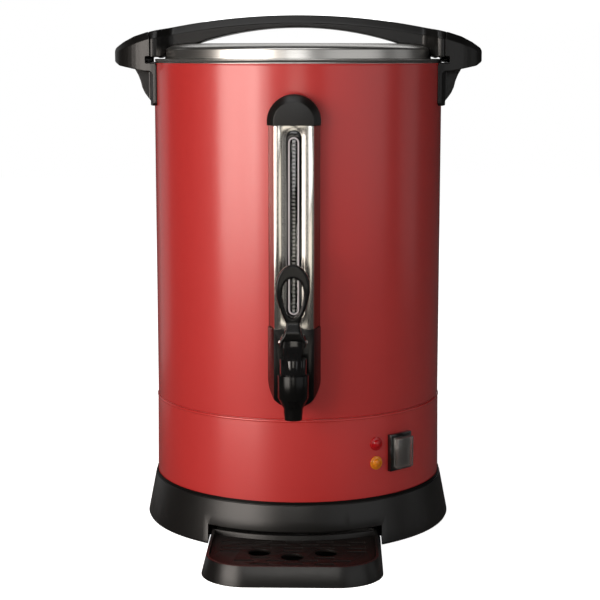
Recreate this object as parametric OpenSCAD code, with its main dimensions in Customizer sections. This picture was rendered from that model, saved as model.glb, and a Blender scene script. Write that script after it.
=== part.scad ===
// Coffee urn: a stainless percolator with a red painted outside, a twist-lock lid, a sight gauge,
// a pull-lever tap and a drip tray. Millimetres, +Z up, the tank's axis on Z, the worktop at z = 0
// and the tap towards -Y.

/* [Tank] */
// Outer radius of the tank
tank_r = 127; // [110:1:150]
// Thickness of the tank's sheet
tank_t = 0.8; // [0.6:0.1:1.4]
// Height of the rolled rim above the worktop
rim_z = 409; // [380:1:460]
// Height of the seam between the tank and its skirt
seam_z = 113; // [104:1:124]
// Height of the tank floor above the seam
floor_rise = 6; // [4:0.5:10]
// Radius of the rolled bead on the rim
bead_r = 1.4; // [1:0.1:2]
// Depth of the spigot that plugs into the skirt
spigot_h = 9; // [6:1:14]
// Depth of the groove at the seam
seam_step = 0.7; // [0.5:0.1:1.2]

/* [Skirt] */
// Thickness of the skirt's sheet
skirt_t = 0.9; // [0.6:0.1:1.2]
// How much wider the skirt is at its foot than at its top, on the radius
skirt_flare = 0.7; // [0:0.1:1.5]
// Width of the turned-in flange at the skirt's foot
skirt_flange_w = 14; // [10:1:20]
// Thickness of the steel bottom plate
plate_t = 1.2; // [0.8:0.1:2]

/* [Base] */
// Height of the base's lip above the worktop
base_h = 42; // [38:1:50]
// How far the skirt sits down inside the base's lip
lip_d = 4; // [3:0.5:6]
// Thickness of the base's wall
base_t = 2.4; // [2:0.1:3.5]
// Gap between the skirt and the base's lip
lip_gap = 0.5; // [0.3:0.1:1]
// How much wider the base is at the worktop than at its lip, on the radius
base_flare = 7; // [4:0.5:10]
// Thickness of the rubber foot ring
foot_t = 1.2; // [0.8:0.1:3]
// Width of the rubber foot ring
foot_w = 8; // [5:1:12]
// Thickness of the shelf that carries the skirt
shelf_t = 4; // [3:0.5:5]

/* [Drip tray] */
// Width of the tray
tray_w = 147.6; // [130:1:160]
// Height of the tray's rim
tray_h = 16; // [14:0.5:18]
// How far the tray's front stands out past the tank
tray_reach = 98.3; // [80:1:110]
// Length of the tray's tongue behind the base's front
tongue_l = 40; // [30:1:50]
// How far the tray's walls lean in from the worktop to the rim
tray_draft = 4; // [1:0.5:5]
// Radius of the tray's front corners
tray_corner_r = 38; // [25:1:45]
// Thickness of the tray's walls and floor
tray_t = 2; // [1.5:0.1:3]
// Width of the ledge that carries the grid
ledge_w = 2.5; // [2:0.5:4]
// Thickness of the grid
grid_t = 2; // [1.5:0.1:3]
// How far the grid lies below the tray's rim
grid_drop = 4; // [2:0.5:5]
// Sliding clearance on each side of the tray
tray_gap = 0.6; // [0.4:0.1:1]
// Radius of the grid's three round holes
drain_r = 9.3; // [6:0.1:11]
// Length of the grid's slots
slot_l = 16.5; // [10:0.5:18]
// Width of the grid's slots
slot_w = 2.6; // [2:0.1:4]
// Distance between neighbouring slots of a row
slot_pitch_x = 26; // [24:0.5:28]
// Distance between rows of slots
slot_pitch_y = 8.2; // [7:0.1:9]

/* [Lid] */
// Thickness of the lid's sheet
lid_t = 0.8; // [0.6:0.1:1.2]
// How far the lid's raised wall stands inside the tank's radius
lid_wall_in = 9.6; // [8:0.2:14]
// Height of the lid's raised wall
lid_wall_h = 7.6; // [5:0.2:10]
// Height of the lid's domed shoulder
lid_dome_h = 5.7; // [3:0.1:8]
// Width of the lid's domed shoulder
lid_dome_w = 29.4; // [22:0.2:45]
// Thickness of the silicone lid seal
seal_t = 1.1; // [0.8:0.1:2]
// Depth of the seal's lip inside the rim
seal_lip_h = 4; // [2:0.5:6]

/* [Lid handle] */
// Height of the arch above the tank's rim
arch_rise = 40.3; // [36:0.1:50]
// Height of the arch's ends above the rim
arch_end_rise = 24.9; // [20:0.1:28]
// Width of the arch
arch_w = 40; // [30:1:50]
// Size of the bevel along the arch's top edges
arch_bevel = 6.7; // [3:0.1:9]
// Thickness of the arch at its middle
arch_t = 10.7; // [8:0.1:14]
// Distance of the arch's end face past the tank
arch_end_out = 5.4; // [4:0.1:8]
// Angle that one locking lug takes up
lug_angle = 5; // [3:0.5:8]
// Height of a locking lug
lug_h = 4.4; // [3:0.1:5]
// How far a lug stands out past the arch's end face
lug_out = 3.6; // [2:0.1:5]
// Distance of a lid screw inside the lid's raised wall
lid_screw_in = 21.4; // [16:0.2:25]

/* [Side handles] */
// How far a side handle stands out past the tank
ear_out = 35.5; // [28:0.5:42]
// Width of a side handle
ear_w = 75; // [60:1:80]
// Wall of a side handle
ear_t = 3; // [2:0.1:4]
// Size of the bevel along a side handle's top edges
ear_bevel = 6.5; // [3:0.1:8]
// Height of a side handle's foot below the rim
ear_drop = 38.1; // [32:0.1:50]
// Running gap between the lid handle and a side handle
lock_gap = 0.5; // [0.2:0.05:0.6]

/* [Gauge] */
// How far the gauge's front stands off the tank
gauge_out = 14.3; // [13:0.1:20]
// Width of the gauge channel at the tank
channel_w = 42.6; // [38:0.2:50]
// Width of the gauge channel's front face
channel_face_w = 32; // [28:0.5:36]
// Thickness of the gauge channel's sheet
channel_t = 0.8; // [0.6:0.1:1.2]
// Width of the pressed recess around the window
recess_w = 19.3; // [17.5:0.1:22]
// Width of the window
window_w = 13.2; // [11:0.1:15]
// Length of the window
window_l = 154; // [120:1:180]
// Width of the clear lens in the window
lens_w = 8.6; // [7:0.1:10]
// Distance of the lens's ends inside the window's ends
lens_end = 4.5; // [2:0.5:8]
// Radius of the sight tube
sight_r = 4.5; // [3.5:0.1:5]
// Wall of the sight tube
sight_t = 1; // [0.8:0.1:1.5]
// Distance of the gauge cap's centre below the rim
cap_drop = 47.5; // [40:0.5:60]
// How much wider the cap and the tap housing are than the channel, on each side
cap_over = 0.7; // [0.4:0.1:2]
// How far the tap housing reaches up over the gauge channel's foot
housing_over = 4; // [2:0.5:8]

/* [Tap] */
// Height of the tap's shank above the tank floor
shank_rise = 29; // [25:1:40]
// Radius of the tap's shank
shank_r = 9; // [7:0.1:10]
// Radius of the waterway
water_r = 5; // [3.5:0.1:6]
// Distance of the valve's axis from the tank
valve_out = 30; // [29:0.5:36]
// Radius of the valve chamber
chamber_r = 12.6; // [11.5:0.1:14]
// Height of the valve chamber
chamber_h = 19; // [17:0.5:24]
// Radius of the spout
spout_r = 7.5; // [6.5:0.1:9]
// Height from the spout's tip up to the chamber
spout_h = 18.5; // [14:0.5:26]
// Radius of the bonnet
bonnet_r = 11; // [10:0.1:12]
// Height of the bonnet
bonnet_h = 13; // [11:0.5:16]
// Radius of the valve stem
stem_r = 2.5; // [2:0.1:3]
// Distance of the lever's pivot in front of the valve's axis
pivot_out = 7; // [6.5:0.1:8]
// Height of the lever's pivot above the bonnet
pivot_rise = 15; // [14:0.5:20]
// Radius of the pivot pin
pin_r = 1.5; // [1.2:0.1:2]
// Running clearance of the pivot pin and the stem, on the radius
run_gap = 0.05; // [0.03:0.01:0.09]
// Width of the lever's loop
loop_w = 27.6; // [22:0.2:32]
// Height of the lever's top above its pivot
lever_h = 64; // [55:1:75]
// Thickness of the lever's loop
loop_t = 7; // [5:0.5:9]
// Forward lean of the lever
lever_lean = 4; // [0:1:8]

/* [Switch and lamps] */
// Angle of the pilot lamps round the body from the front
lamp_angle = 32.7; // [26:0.1:33]
// Height of the red lamp above the worktop
red_lamp_z = 88; // [84:0.5:98]
// Height of the amber lamp above the worktop
amber_lamp_z = 71.4; // [62:0.2:73]
// Radius of a lamp's lens
lens_r = 5.8; // [4.5:0.1:6.5]
// Angle of the switch round the body from the front
switch_angle = 44; // [41:0.5:50]
// Height of the switch's centre above the worktop
switch_z = 78.3; // [74:0.1:84]
// Width of the switch's bezel
switch_w = 25; // [22:0.5:26]
// Height of the switch's bezel
switch_h = 32; // [28:0.5:36]
// How far the switch's bezel stands out
switch_out = 3.2; // [2:0.1:5]
// How far the splash cover stands out past the bezel
cover_out = 6; // [5:0.1:8]
// Half of the rocker's swing
rocker_swing = 10; // [6:0.5:11]

/* [Mains inlet] */
// Width of the inlet's flange
inlet_w = 50; // [48:0.5:56]
// Height of the inlet's flange
inlet_h = 26; // [24:0.5:30]
// Width of the inlet's socket
socket_w = 24.6; // [24:0.1:26]
// Height of the inlet's socket
socket_h = 16.6; // [16:0.1:18]
// Depth of the inlet's socket
socket_d = 17; // [16:0.5:20]
// Length of the inlet's pins
pin_l = 12; // [10:0.5:13]

/* [Heater] */
// Radius of the heater's diffuser plate
diffuser_r = 78; // [70:1:90]
// Thickness of the heater's diffuser plate
diffuser_t = 4; // [3:0.5:6]
// Radius of the heating element's ring
element_ring_r = 58; // [50:1:62]
// Radius of the heating element's tube
element_r = 3.3; // [2.5:0.1:4]

/* [Percolator] */
// Radius of the pump tube
pump_r = 5.5; // [4.5:0.1:7]
// Wall of the pump tube
pump_t = 0.8; // [0.5:0.1:1.2]
// Radius of the pump's bell foot
bell_r = 34; // [25:1:45]
// Height of the pump's bell foot
bell_h = 14; // [10:1:20]
// Radius of the filter basket
basket_r = 60; // [50:1:75]
// Height of the filter basket
basket_h = 65; // [50:1:75]
// Height of the basket's floor below the rim
basket_drop = 109; // [105:1:130]
// Thickness of the basket's sheet
basket_t = 0.8; // [0.6:0.1:1.2]

/* [Fasteners] */
// Radius of an M5 screw
m5_r = 2.5; // [2.4:0.05:2.6]
// Radius of an M4 screw
m4_r = 2; // [1.9:0.05:2.1]
// Thickness of the sealing washers
washer_t = 1.6; // [1:0.1:2]

/* [Hidden] */

$fn = 96;
eps = 0.01;
big = 400;
steel = [0.78, 0.78, 0.76];
red = [0.70, 0.11, 0.11];
black = [0.09, 0.09, 0.09];
silicone = [0.85, 0.85, 0.82];
clear = [0.85, 0.9, 0.92, 0.4];

// tank and skirt
spigot_r = tank_r - seam_step;
floor_z = seam_z + floor_rise;
tank_in_r = tank_r - tank_t;
skirt_in_r = spigot_r;
skirt_top_r = spigot_r + skirt_t;
skirt_z = base_h - lip_d;
skirt_foot_r = skirt_top_r + skirt_flare;
skirt_top_z = seam_z - 0.4;
skirt_round = 0.4;
function skirt_r(z) = skirt_top_r + skirt_flare * (skirt_top_z - z) / (skirt_top_z - skirt_z);

// base and tray
lip_r = skirt_foot_r + lip_gap;
lip_t = 1.6;
lip_step = 2.8;
lip_wall = 0.65;
lip_edge = 0.8;
base_top_r = lip_r + lip_t;
base_foot_r = base_top_r + base_flare;
shelf_r = skirt_foot_r - skirt_flange_w;
foot_flange_t = 2;
foot_ring_r = base_foot_r - base_t - foot_w - 1;
tray_front = tank_r + tray_reach;
tray_rear_r = base_foot_r + 0.6;
tray_back = tank_r - tongue_l + tray_t;
tongue_h = 10;
tray_pocket = tray_t + tray_draft;
tunnel_w = tray_w + 2 * tray_gap;
tunnel_h = tray_h + 1.5;
tunnel_back = tray_back - tray_gap;
grid_z = tray_h - grid_drop - grid_t;
grid_gap = 0.3;
drain_x = 27.3;
drain_y = tray_front - 52.7;
drain_step = 11.3;
slot_row_y = tray_front - 23.8;
slot_rows = [
    [0, [-1, 0, 1]],
    [1, [-1.5, -0.5, 0.5, 1.5]],
    [2, [-1, 1]],
    [4, [-2, 0, 2]],
    [5.1, [-2, -1, 0, 1, 2]],
    [6.1, [-1.5, -0.5, 0.5, 1.5]],
    [7.1, [-2, -1, 0, 1, 2]]
];

// base screws
base_screw_r = shelf_r + 7;
base_screw_l = 14;
plate_z = skirt_z + skirt_t;

// lid
lid_wall_r = tank_r - lid_wall_in;
lid_flat_r = lid_wall_r - lid_dome_w;
lid_screw_x = lid_wall_r - lid_screw_in;
flange_z = rim_z + seal_t + lid_t + 0.4;
flange_r = tank_r - 0.5;
lid_curl = 0.2;
lid_shoulder_z = flange_z + lid_wall_h;
lid_crown_z = lid_shoulder_z + lid_dome_h;
seal_r = flange_r - lid_t - 0.3;
seal_w = 4.5;
seal_lip_t = 1.5;

// lid handle
arch_end_r = tank_r + arch_end_out;
arch_top_z = rim_z + arch_rise;
arch_sag = arch_rise - arch_end_rise;
arch_r = (arch_end_r * arch_end_r + arch_sag * arch_sag) / (2 * arch_sag);
arch_under_z = arch_top_z - arch_t;
under_sag = arch_under_z - lid_crown_z;
under_half = lid_flat_r + 1;
under_r = (under_half * under_half + under_sag * under_sag) / (2 * under_sag);
foot_z = flange_z + 1.5;
lug_z = foot_z - lug_h;
lug_in_r = tank_r + 0.9;
lug_r = arch_end_r + lug_out;
lug_start = 3.5;
flare_in = tank_r - 18;
flare_out = tank_r - 3;
arch_steps = 45;
lid_screw_l = 10;
lid_screw_gap = 0.9;

// side handles
lock_r = arch_end_r + lock_gap;
notch_r = lug_r + lock_gap;
notch_top_z = foot_z + lock_gap;
notch_z = lug_z - lock_gap;
ear_r = tank_r + ear_out;
ear_plan_x = tank_r - 9;
ear_foot_z = rim_z - ear_drop;
ear_tip_top = 10.9;
ear_tip_low = 0.6;
ear_plate = 3.5;
rib_y = 11;
rib_t = 3;
plate_round = 4;
root_round = 5.5;
root_sink = 0.3;
root_angle = 25;
root_z = rim_z - 7.7;
bolt_z = [rim_z - 13.5, rim_z - 24.5];
bolt_l = 12;
bolt_head_r = 4.6;
bolt_head_t = 2.6;
washer_lift = 0.15;
nut_t = 4;
nut_r = 4.4;

// gauge
channel_y = tank_r + gauge_out;
bevel_y = tank_r - 1.5;
cap_r = channel_w / 2 + cap_over;
cap_z = rim_z - cap_drop;
cap_skirt = 3;
window_below_cap = 3.75;
channel_strip = 12.75;
cap_out = 1.4;
cap_face_r = 17;
cap_edge_out = 9;
recess_d = 0.8;
shank_z = floor_z + shank_rise;
window_z = cap_z - cap_skirt - window_below_cap - window_l / 2;
channel_foot = window_z - window_l / 2 - channel_strip;
lens_l = window_l - 2 * lens_end;
lens_drop = 1;
insert_front = 0.2;
insert_back = 0.9;
insert_lip_t = 0.2;
insert_lip = 1.5;
insert_gap = 0.1;
lens_proud = 0.6;
recess_over = recess_w - window_w;
sight_y = tank_r + 7;
sight_top = cap_z + 5;
seal_h = 6;
tube_seal_r = sight_r + 1;
cap_screw_z = cap_z + 9;
channel_tuck = 2;

// tap
valve_y = tank_r + valve_out;
chamber_top = shank_z + chamber_h / 2;
chamber_z = chamber_top - chamber_h;
seat_z = chamber_z + 2.5;
valve_bore_r = chamber_r - 3.6;
spout_z = chamber_z - spout_h;
cone_h = 9;
arm_r = chamber_h / 2 - 0.5;
arm_gap = 0.1;
sight_foot = shank_z + arm_r - 2;
flange_out = arm_r + 4.6;
flange_w = 2.4;
block_w = 17;
block_top = shank_z + 18;
block_y = tank_r + washer_t;
bonnet_top = chamber_top + bonnet_h;
plug_h = 4;
plug_r = valve_bore_r;
spring_r = 4.4;
spring_wire = 0.9;
spring_turns = 5;
coil_steps = 24;
wire_sides = 8;
spring_room_r = spring_r + 1.6;
bonnet_cap_t = 3;
stem_foot = seat_z + 6;
collar_r = 5.6;
collar_t = 1.4;
cup_r = water_r + 2;
pivot_y = valve_y + pivot_out;
pivot_z = bonnet_top + pivot_rise;
hub_r = 3.3;
ear_in = 5.2;
ear_wide = 7.9;
web_foot = 6.2;
web_top = pivot_z - 4.8;
cheek_gap = 0.3;
cheek_t = 2.4;
cheek_in = ear_wide + cheek_gap;
cheek_out = cheek_in + cheek_t;
prong_in = stem_r + 0.4;
prong_out = ear_in - 0.3;
prong_top = -1;
prong_low = -4;
prong_front = 1;
shield_in = 3.5;
shield_t = 0.7;
shield_top = 1.4;
shield_foot = 3;
head_gap = 0.35;
head_r = 4.2;
head_t = 2.6;
head_z = pivot_z + prong_top + head_gap;
pin_half = cheek_out + 1.2;
neck_half = 5.6;
neck_z = 16.5;
bell_steps = 8;
bell_power = 2.4;
loop_z = 45.5;
loop_top_t = 11;
loop_side_t = 5.2;
loop_foot_t = 3.8;
loop_round = 0.45;
skirt_z0 = 2.5;
hood_top = 9;
hood_front = 7;
hood_back = 9;
hood_t = 2.5;
shank_in = 15;
shank_step = 1;
shank_plug = 9;
fit_gap = 0.05;
nut_w_r = 15;
nut_h = 8;
housing_t = 2;

// switch and lamps
switch_face_r = tank_r + 0.6 + switch_out;
switch_depth = 26;
switch_body_w = 21;
switch_body_h = 28;
rocker_axis_r = switch_face_r - 5.3;
rocker_r = 11.6;
rocker_gap = 0.4;
rocker_w = 14.6;
rocker_dish = 5;
rocker_lip = 7;
rocker_back = 4;
cover_w = switch_w - 6.6;
cover_h = switch_h - 5.6;
cover_t = 0.9;
lamp_body_r = 4.8;
lamp_body_l = 18;
lamp_flange_t = 1.3;

// mains inlet
inlet_y = tank_r + 3.4;
inlet_z = 76;
inlet_body_w = socket_w + 3.4;
inlet_body_h = socket_h + 3.4;
inlet_screw_x = 20;

// heater and wiring
plate_top = plate_z + plate_t;
diffuser_z = floor_z - tank_t - diffuser_t;
element_z = diffuser_z - element_r;
element_gap_angle = 40;
element_leg = 16;
stat_r = 8;
stat_h = 10;
stat_y = 26;
stat_flange_t = 0.8;
stat_screw_x = 12;
block_l = 44;
block_d = 18;
block_h = 15;
block_x = 30;
block_back = 55;
wire_r = 1.6;
elbow_r = wire_r + 0.3;
wire_z = plate_top + wire_r + 1;

// percolator
basket_z = rim_z - basket_drop;
pump_top = rim_z - 14;
sleeve_gap = 0.4;
sleeve_r = pump_r + sleeve_gap;
collar_w = 4;
bell_t = 0.8;

// ---------- helpers ----------

function arc(x, y, r, a0, a1, n = 12) =
    [for (i = [0:n]) let (a = a0 + (a1 - a0) * i / n) [x + r * cos(a), y + r * sin(a)]];

// An annulus that stands on z = 0
module ring(r_out, r_in, h) {
    linear_extrude(h) difference() {
        circle(r_out);
        circle(r_in);
    }
}

// Turns a child that stands on z = 0 so that it points to the front, from distance y at height z
module to_front(y, z, x = 0) {
    translate([x, -y, z]) rotate([90, 0, 0]) children();
}

// Turns a child that stands on z = 0 so that it points outwards at an angle round the axis
module outwards(angle, r, z) {
    rotate([0, 0, angle]) translate([r, 0, z]) rotate([0, 90, 0]) children();
}

// Places a child at an angle from the front towards +X, with its local +X pointing outwards
module at_front_angle(angle) {
    rotate([0, 0, angle - 90]) children();
}

// A slab that stands upright, extruded from y1 back to y0 (both distances to the front)
module upright(y0, y1) {
    translate([0, -y0, 0]) rotate([90, 0, 0]) linear_extrude(y1 - y0) children();
}

module stadium(w, l) {
    square([w, l - w], center = true);
    translate([0, (l - w) / 2]) circle(w / 2);
    translate([0, (w - l) / 2]) circle(w / 2);
}

// A pan-head screw along +Z with the underside of its head at z = 0
module pan_screw(r, l, head_r, head_t) {
    cylinder(r = r, h = l);
    translate([0, 0, -head_t]) cylinder(r = head_r, h = head_t);
}

// ---------- tank, skirt and base ----------

module tank_shell() {
    rotate_extrude() polygon([
        [0, floor_z - tank_t],
        [spigot_r - tank_t, floor_z - tank_t],
        [spigot_r - tank_t, seam_z - spigot_h],
        [spigot_r, seam_z - spigot_h],
        [spigot_r, seam_z],
        [tank_r, seam_z + seam_step],
        [tank_r, rim_z - bead_r],
        [tank_in_r, rim_z - bead_r],
        [tank_in_r, floor_z],
        [0, floor_z]
    ]);
    translate([0, 0, rim_z - bead_r]) rotate_extrude() translate([tank_r - bead_r + 0.2, 0]) circle(bead_r);
}

module tank() color(red) difference() {
    tank_shell();
    to_front(tank_r - 8, shank_z) cylinder(r = shank_r + 0.2, h = 16);
    to_front(tank_r - 5, cap_screw_z) cylinder(r = m4_r, h = 10);
    for (side = [0, 180], z = bolt_z) outwards(side, tank_r - 5, z) cylinder(r = m5_r, h = 10);
}

// The skirt's outer form without its cut-outs, as a full solid
module skirt_solid() {
    rotate_extrude() polygon([
        [0, skirt_z],
        [skirt_foot_r, skirt_z],
        [skirt_top_r, skirt_top_z - skirt_round],
        [skirt_top_r - skirt_round, skirt_top_z],
        [0, skirt_top_z]
    ]);
}

module skirt_shell() difference() {
    skirt_solid();
    rotate_extrude() polygon([
        [0, skirt_z + skirt_t],
        [skirt_foot_r - skirt_t, skirt_z + skirt_t],
        [skirt_in_r, seam_z - spigot_h],
        [skirt_in_r, seam_z],
        [0, seam_z]
    ]);
    translate([0, 0, skirt_z - 1]) cylinder(r = shelf_r, h = skirt_t + 2);
}

module base_screw_places() {
    for (a = [45:90:315]) rotate([0, 0, a]) translate([base_screw_r, 0, 0]) children();
}

module skirt() color(red) difference() {
    skirt_shell();
    base_screw_places() translate([0, 0, skirt_z - 1]) cylinder(r = m4_r, h = skirt_t + 2);
    at_front_angle(lamp_angle) for (z = [red_lamp_z, amber_lamp_z])
        outwards(0, tank_r - 5, z) cylinder(r = lamp_body_r + 0.1, h = 10);
    at_front_angle(switch_angle)
        translate([tank_r - 10, -switch_body_w / 2, switch_z - switch_body_h / 2])
        cube([20, switch_body_w, switch_body_h]);
    translate([-inlet_body_w / 2, tank_r - 15, inlet_z - inlet_body_h / 2])
        cube([inlet_body_w, 25, inlet_body_h]);
    for (x = [-1, 1]) to_front(-tank_r - 5, inlet_z, x * inlet_screw_x) cylinder(r = m4_r, h = 15);
}

module base_solid() {
    rotate_extrude() polygon(concat(
        [[0, foot_t], [base_foot_r - 0.8, foot_t], [base_foot_r, foot_t + 1.6]],
        arc(base_top_r - lip_edge, base_h - lip_step - lip_edge, lip_edge, 9, 90, 5),
        [[lip_r + lip_wall, base_h - lip_step], [lip_r + lip_wall, base_h], [0, base_h]]
    ));
}

module base_shell() difference() {
    base_solid();
    rotate_extrude() polygon([
        [0, foot_t + foot_flange_t],
        [base_foot_r - base_t, foot_t + foot_flange_t],
        [lip_r - 0.4, skirt_z - shelf_t],
        [0, skirt_z - shelf_t]
    ]);
    translate([0, 0, skirt_z]) cylinder(r = lip_r, h = lip_d + 1);
    translate([0, 0, foot_t - 1]) cylinder(r = foot_ring_r, h = foot_flange_t + 2);
    cylinder(r = shelf_r, h = base_h);
}

module base() color(black) difference() {
    union() {
        base_shell();
        intersection() {
            base_solid();
            translate([-tunnel_w / 2 - base_t, -big / 2, foot_t])
                cube([tunnel_w + 2 * base_t, big / 2 - tunnel_back + base_t, tunnel_h + base_t - foot_t]);
        }
        base_screw_places() translate([0, 0, skirt_z - shelf_t - 2]) cylinder(r = 5.5, h = 3);
    }
    translate([-tunnel_w / 2, -big / 2, -1]) cube([tunnel_w, big / 2 - tunnel_back, tunnel_h + 1]);
    base_screw_places() translate([0, 0, skirt_z - shelf_t - 3]) cylinder(r = m4_r, h = shelf_t + 4);
}

module bottom_plate() color(steel) difference() {
    translate([0, 0, plate_z]) cylinder(r = skirt_foot_r - skirt_t - 0.3, h = plate_t);
    base_screw_places() translate([0, 0, plate_z - 1]) cylinder(r = m4_r, h = plate_t + 2);
    translate([0, -block_back, plate_z - 1]) cylinder(r = m4_r, h = plate_t + 2);
    for (x = [-1, 1]) translate([block_x + x * block_l / 3, block_back, plate_z - 1])
        cylinder(r = m4_r, h = plate_t + 2);
}

module foot_ring() color(black) difference() {
    ring(foot_ring_r + foot_w, foot_ring_r, foot_t);
    translate([-tunnel_w / 2 - 1, -big / 2, -1]) cube([tunnel_w + 2, big / 2, foot_t + 2]);
}

module base_screws() color(steel) base_screw_places() translate([0, 0, skirt_z - shelf_t - 2])
    pan_screw(m4_r, base_screw_l, m4_r * 1.9, 2.2);

// ---------- lid ----------

// The lid's outer profile, drawn in by a sheet thickness for its inner side
function lid_profile(t) = concat(
    [[0, lid_crown_z - t]],
    [for (i = [0:10]) [lid_flat_r + (lid_wall_r - t - lid_flat_r) * sin(i * 9),
        lid_shoulder_z - t + lid_dome_h * cos(i * 9)]],
    [[lid_wall_r - t, flange_z - t], [flange_r - t, flange_z - t]]
);

module lid_solid() {
    rotate_extrude() polygon(concat(lid_profile(0), [
        [flange_r, flange_z],
        [flange_r, flange_z - lid_t - lid_curl],
        [0, flange_z - lid_t - lid_curl]
    ]));
}

module lid() color(steel) difference() {
    lid_solid();
    rotate_extrude() polygon(concat(lid_profile(lid_t), [
        [flange_r - lid_t, flange_z - lid_t - lid_curl - 1],
        [0, flange_z - lid_t - lid_curl - 1]
    ]));
    lid_screw_places(-lid_screw_l / 2) cylinder(r = m5_r, h = lid_screw_l);
}

module lid_screw_places(dz) {
    for (side = [-1, 1], y = [-1, 1])
        translate([side * lid_screw_x, y * arch_w / 4, lid_crown_z + dz]) children();
}

module lid_seal() color(silicone) {
    translate([0, 0, rim_z + 0.2]) ring(seal_r, seal_r - seal_w, seal_t);
    translate([0, 0, rim_z + 0.2 - seal_lip_h])
        ring(seal_r - seal_w + seal_lip_t, seal_r - seal_w, seal_lip_h + seal_t);
}

// Half of the arch's width at x: narrow along the grip, flared at the ends to meet the side handles
function arch_half(x) = let (
    u = max(0, min(1, (abs(x) - flare_in) / (flare_out - flare_in))),
    past = max(0, abs(x) - ear_plan_x) / (ear_r - ear_plan_x),
    end = ear_w / 2 * sqrt(1 - past * past)
) arch_w / 2 + (end - arch_w / 2) * u * u * (3 - 2 * u);

// The arch's section at x, without its underside
function arch_section(x) = let (
    half = arch_half(x),
    top = arch_top_z - arch_r + sqrt(arch_r * arch_r - x * x)
) [
    [x, -half, flange_z - 1],
    [x, -half, top - arch_bevel],
    [x, arch_bevel - half, top],
    [x, half - arch_bevel, top],
    [x, half, top - arch_bevel],
    [x, half, flange_z - 1]
];

// A closed solid through rings of as many points each
module loft(rings) {
    n = len(rings[0]);
    last = (len(rings) - 1) * n;
    polyhedron(
        points = [for (ring = rings, p = ring) p],
        faces = concat(
            [[for (i = [0:n - 1]) i]],
            [for (k = [0:n:last - n], i = [0:n - 1]) let (j = (i + 1) % n) each [
                [k + i, k + n + i, k + n + j],
                [k + i, k + n + j, k + j]
            ]],
            [[for (i = [n - 1:-1:0]) last + i]]
        )
    );
}

module arch_sweep() {
    loft([for (i = [-arch_steps:arch_steps]) arch_section(i * (arch_end_r + 1) / arch_steps)]);
}

module lug(angle) {
    rotate([0, 0, angle]) rotate_extrude(angle = lug_angle) polygon([
        [lug_in_r, lug_z],
        [lug_r, lug_z],
        [lug_r, foot_z],
        [arch_end_r - 2, foot_z],
        [arch_end_r - 2, foot_z + 1],
        [lug_in_r, foot_z + 1]
    ]);
}

module lid_handle() color(black) {
    difference() {
        intersection() {
            arch_sweep();
            translate([0, 0, flange_z]) cylinder(r = arch_end_r, h = big / 2);
        }
        translate([0, 0, arch_under_z - under_r]) rotate([90, 0, 0])
            cylinder(r = under_r, h = 2 * arch_w, center = true);
        lid_solid();
        ring_below_foot();
        lid_screw_places(-lid_screw_gap - lid_t - 1) cylinder(r = m5_r, h = lid_screw_l + 2);
    }
    for (a = [0, 180]) lug(a + lug_start);
}

// Clears the arch's foot off the lid's edge and the tank's rim
module ring_below_foot() {
    translate([0, 0, flange_z - 1]) ring(arch_end_r + 1, flange_r - 4, foot_z - flange_z + 1);
}

module lid_screws() color(steel) lid_screw_places(-lid_t - lid_screw_gap)
    pan_screw(m5_r, lid_screw_l, bolt_head_r, bolt_head_t);

// ---------- side handles ----------

// The side handle's top outline in X and Z, drawn in by t for the hollow
// and lowered by drop away from its nose
function ear_top(t, drop) = [
    [tank_r - 6, rim_z + arch_end_rise + 3.4 - t - drop],
    [arch_end_r, rim_z + arch_end_rise - t - drop],
    [arch_end_r + 10, rim_z + arch_end_rise - 3.1 - t - drop],
    [ear_r - 10, rim_z + ear_tip_top + 6 - t - 0.9 * drop],
    [ear_r - 2 - t, rim_z + ear_tip_top + 0.9 - t / 2 - 0.6 * drop],
    [ear_r - t, rim_z + ear_tip_top - 1.8 - t - 0.2 * drop]
];

// The hood's lower outline, from its nose to its root
ear_low = [
    [ear_r, rim_z + ear_tip_low],
    [ear_r - 1.2, rim_z - ear_tip_low],
    [ear_r - 6, rim_z - 3.6],
    [arch_end_r + 2, root_z - 0.3],
    [tank_r - 6, root_z - 1.3]
];

// The hollow's lower end, open below the hood
function ear_open(t) = [
    [ear_r - t, ear_foot_z - 5],
    [tank_r - 6, ear_foot_z - 5]
];

// Half of an ellipse that the side handle fills, seen from above
module ear_plan(t, narrower) {
    polygon([for (i = [-15:15]) let (a = i * 6)
        [ear_plan_x + (ear_r - ear_plan_x - t) * cos(a), (ear_w / 2 - t - narrower) * sin(a)]]);
}

module ear_block(t, narrower, drop, low) intersection() {
    linear_extrude(2 * big) ear_plan(t, narrower);
    rotate([90, 0, 0]) linear_extrude(ear_w, center = true) polygon(concat(ear_top(t, drop), low));
}

module ear_form(t, low) hull() {
    ear_block(t, 0, ear_bevel, low);
    ear_block(t, ear_bevel, 0, low);
}

module ear_hood() difference() {
    ear_form(0, ear_low);
    intersection() {
        ear_form(ear_t, ear_open(ear_t));
        translate([notch_r + 2.5, -big / 2, 0]) cube([big, big, 2 * big]);
    }
}

// The plate that lies on the tank, seen along X
module ear_plate_face() {
    half = ear_w / 2;
    inner = half - plate_round;
    polygon(concat(
        [[half, root_z + 2], [-half, root_z + 2]],
        arc(-inner, ear_foot_z + plate_round, plate_round, 180, 270, 6),
        arc(inner, ear_foot_z + plate_round, plate_round, 270, 360, 6)
    ));
}

// The round in the hood's front and rear walls, where they meet the plate
module ear_root() {
    inside = tank_r + 1;
    foot = root_z - root_round;
    round_x = tank_r + ear_plate + root_round - root_sink;
    difference() {
        rotate([0, 0, -root_angle]) rotate_extrude(angle = 2 * root_angle) polygon(concat(
            [[inside, root_z + 3], [inside, foot]],
            arc(round_x, foot, root_round, 180, 96, 7),
            [[round_x, root_z + 3]]
        ));
        linear_extrude(2 * big) ear_plan(ear_t, 0);
    }
}

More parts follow.
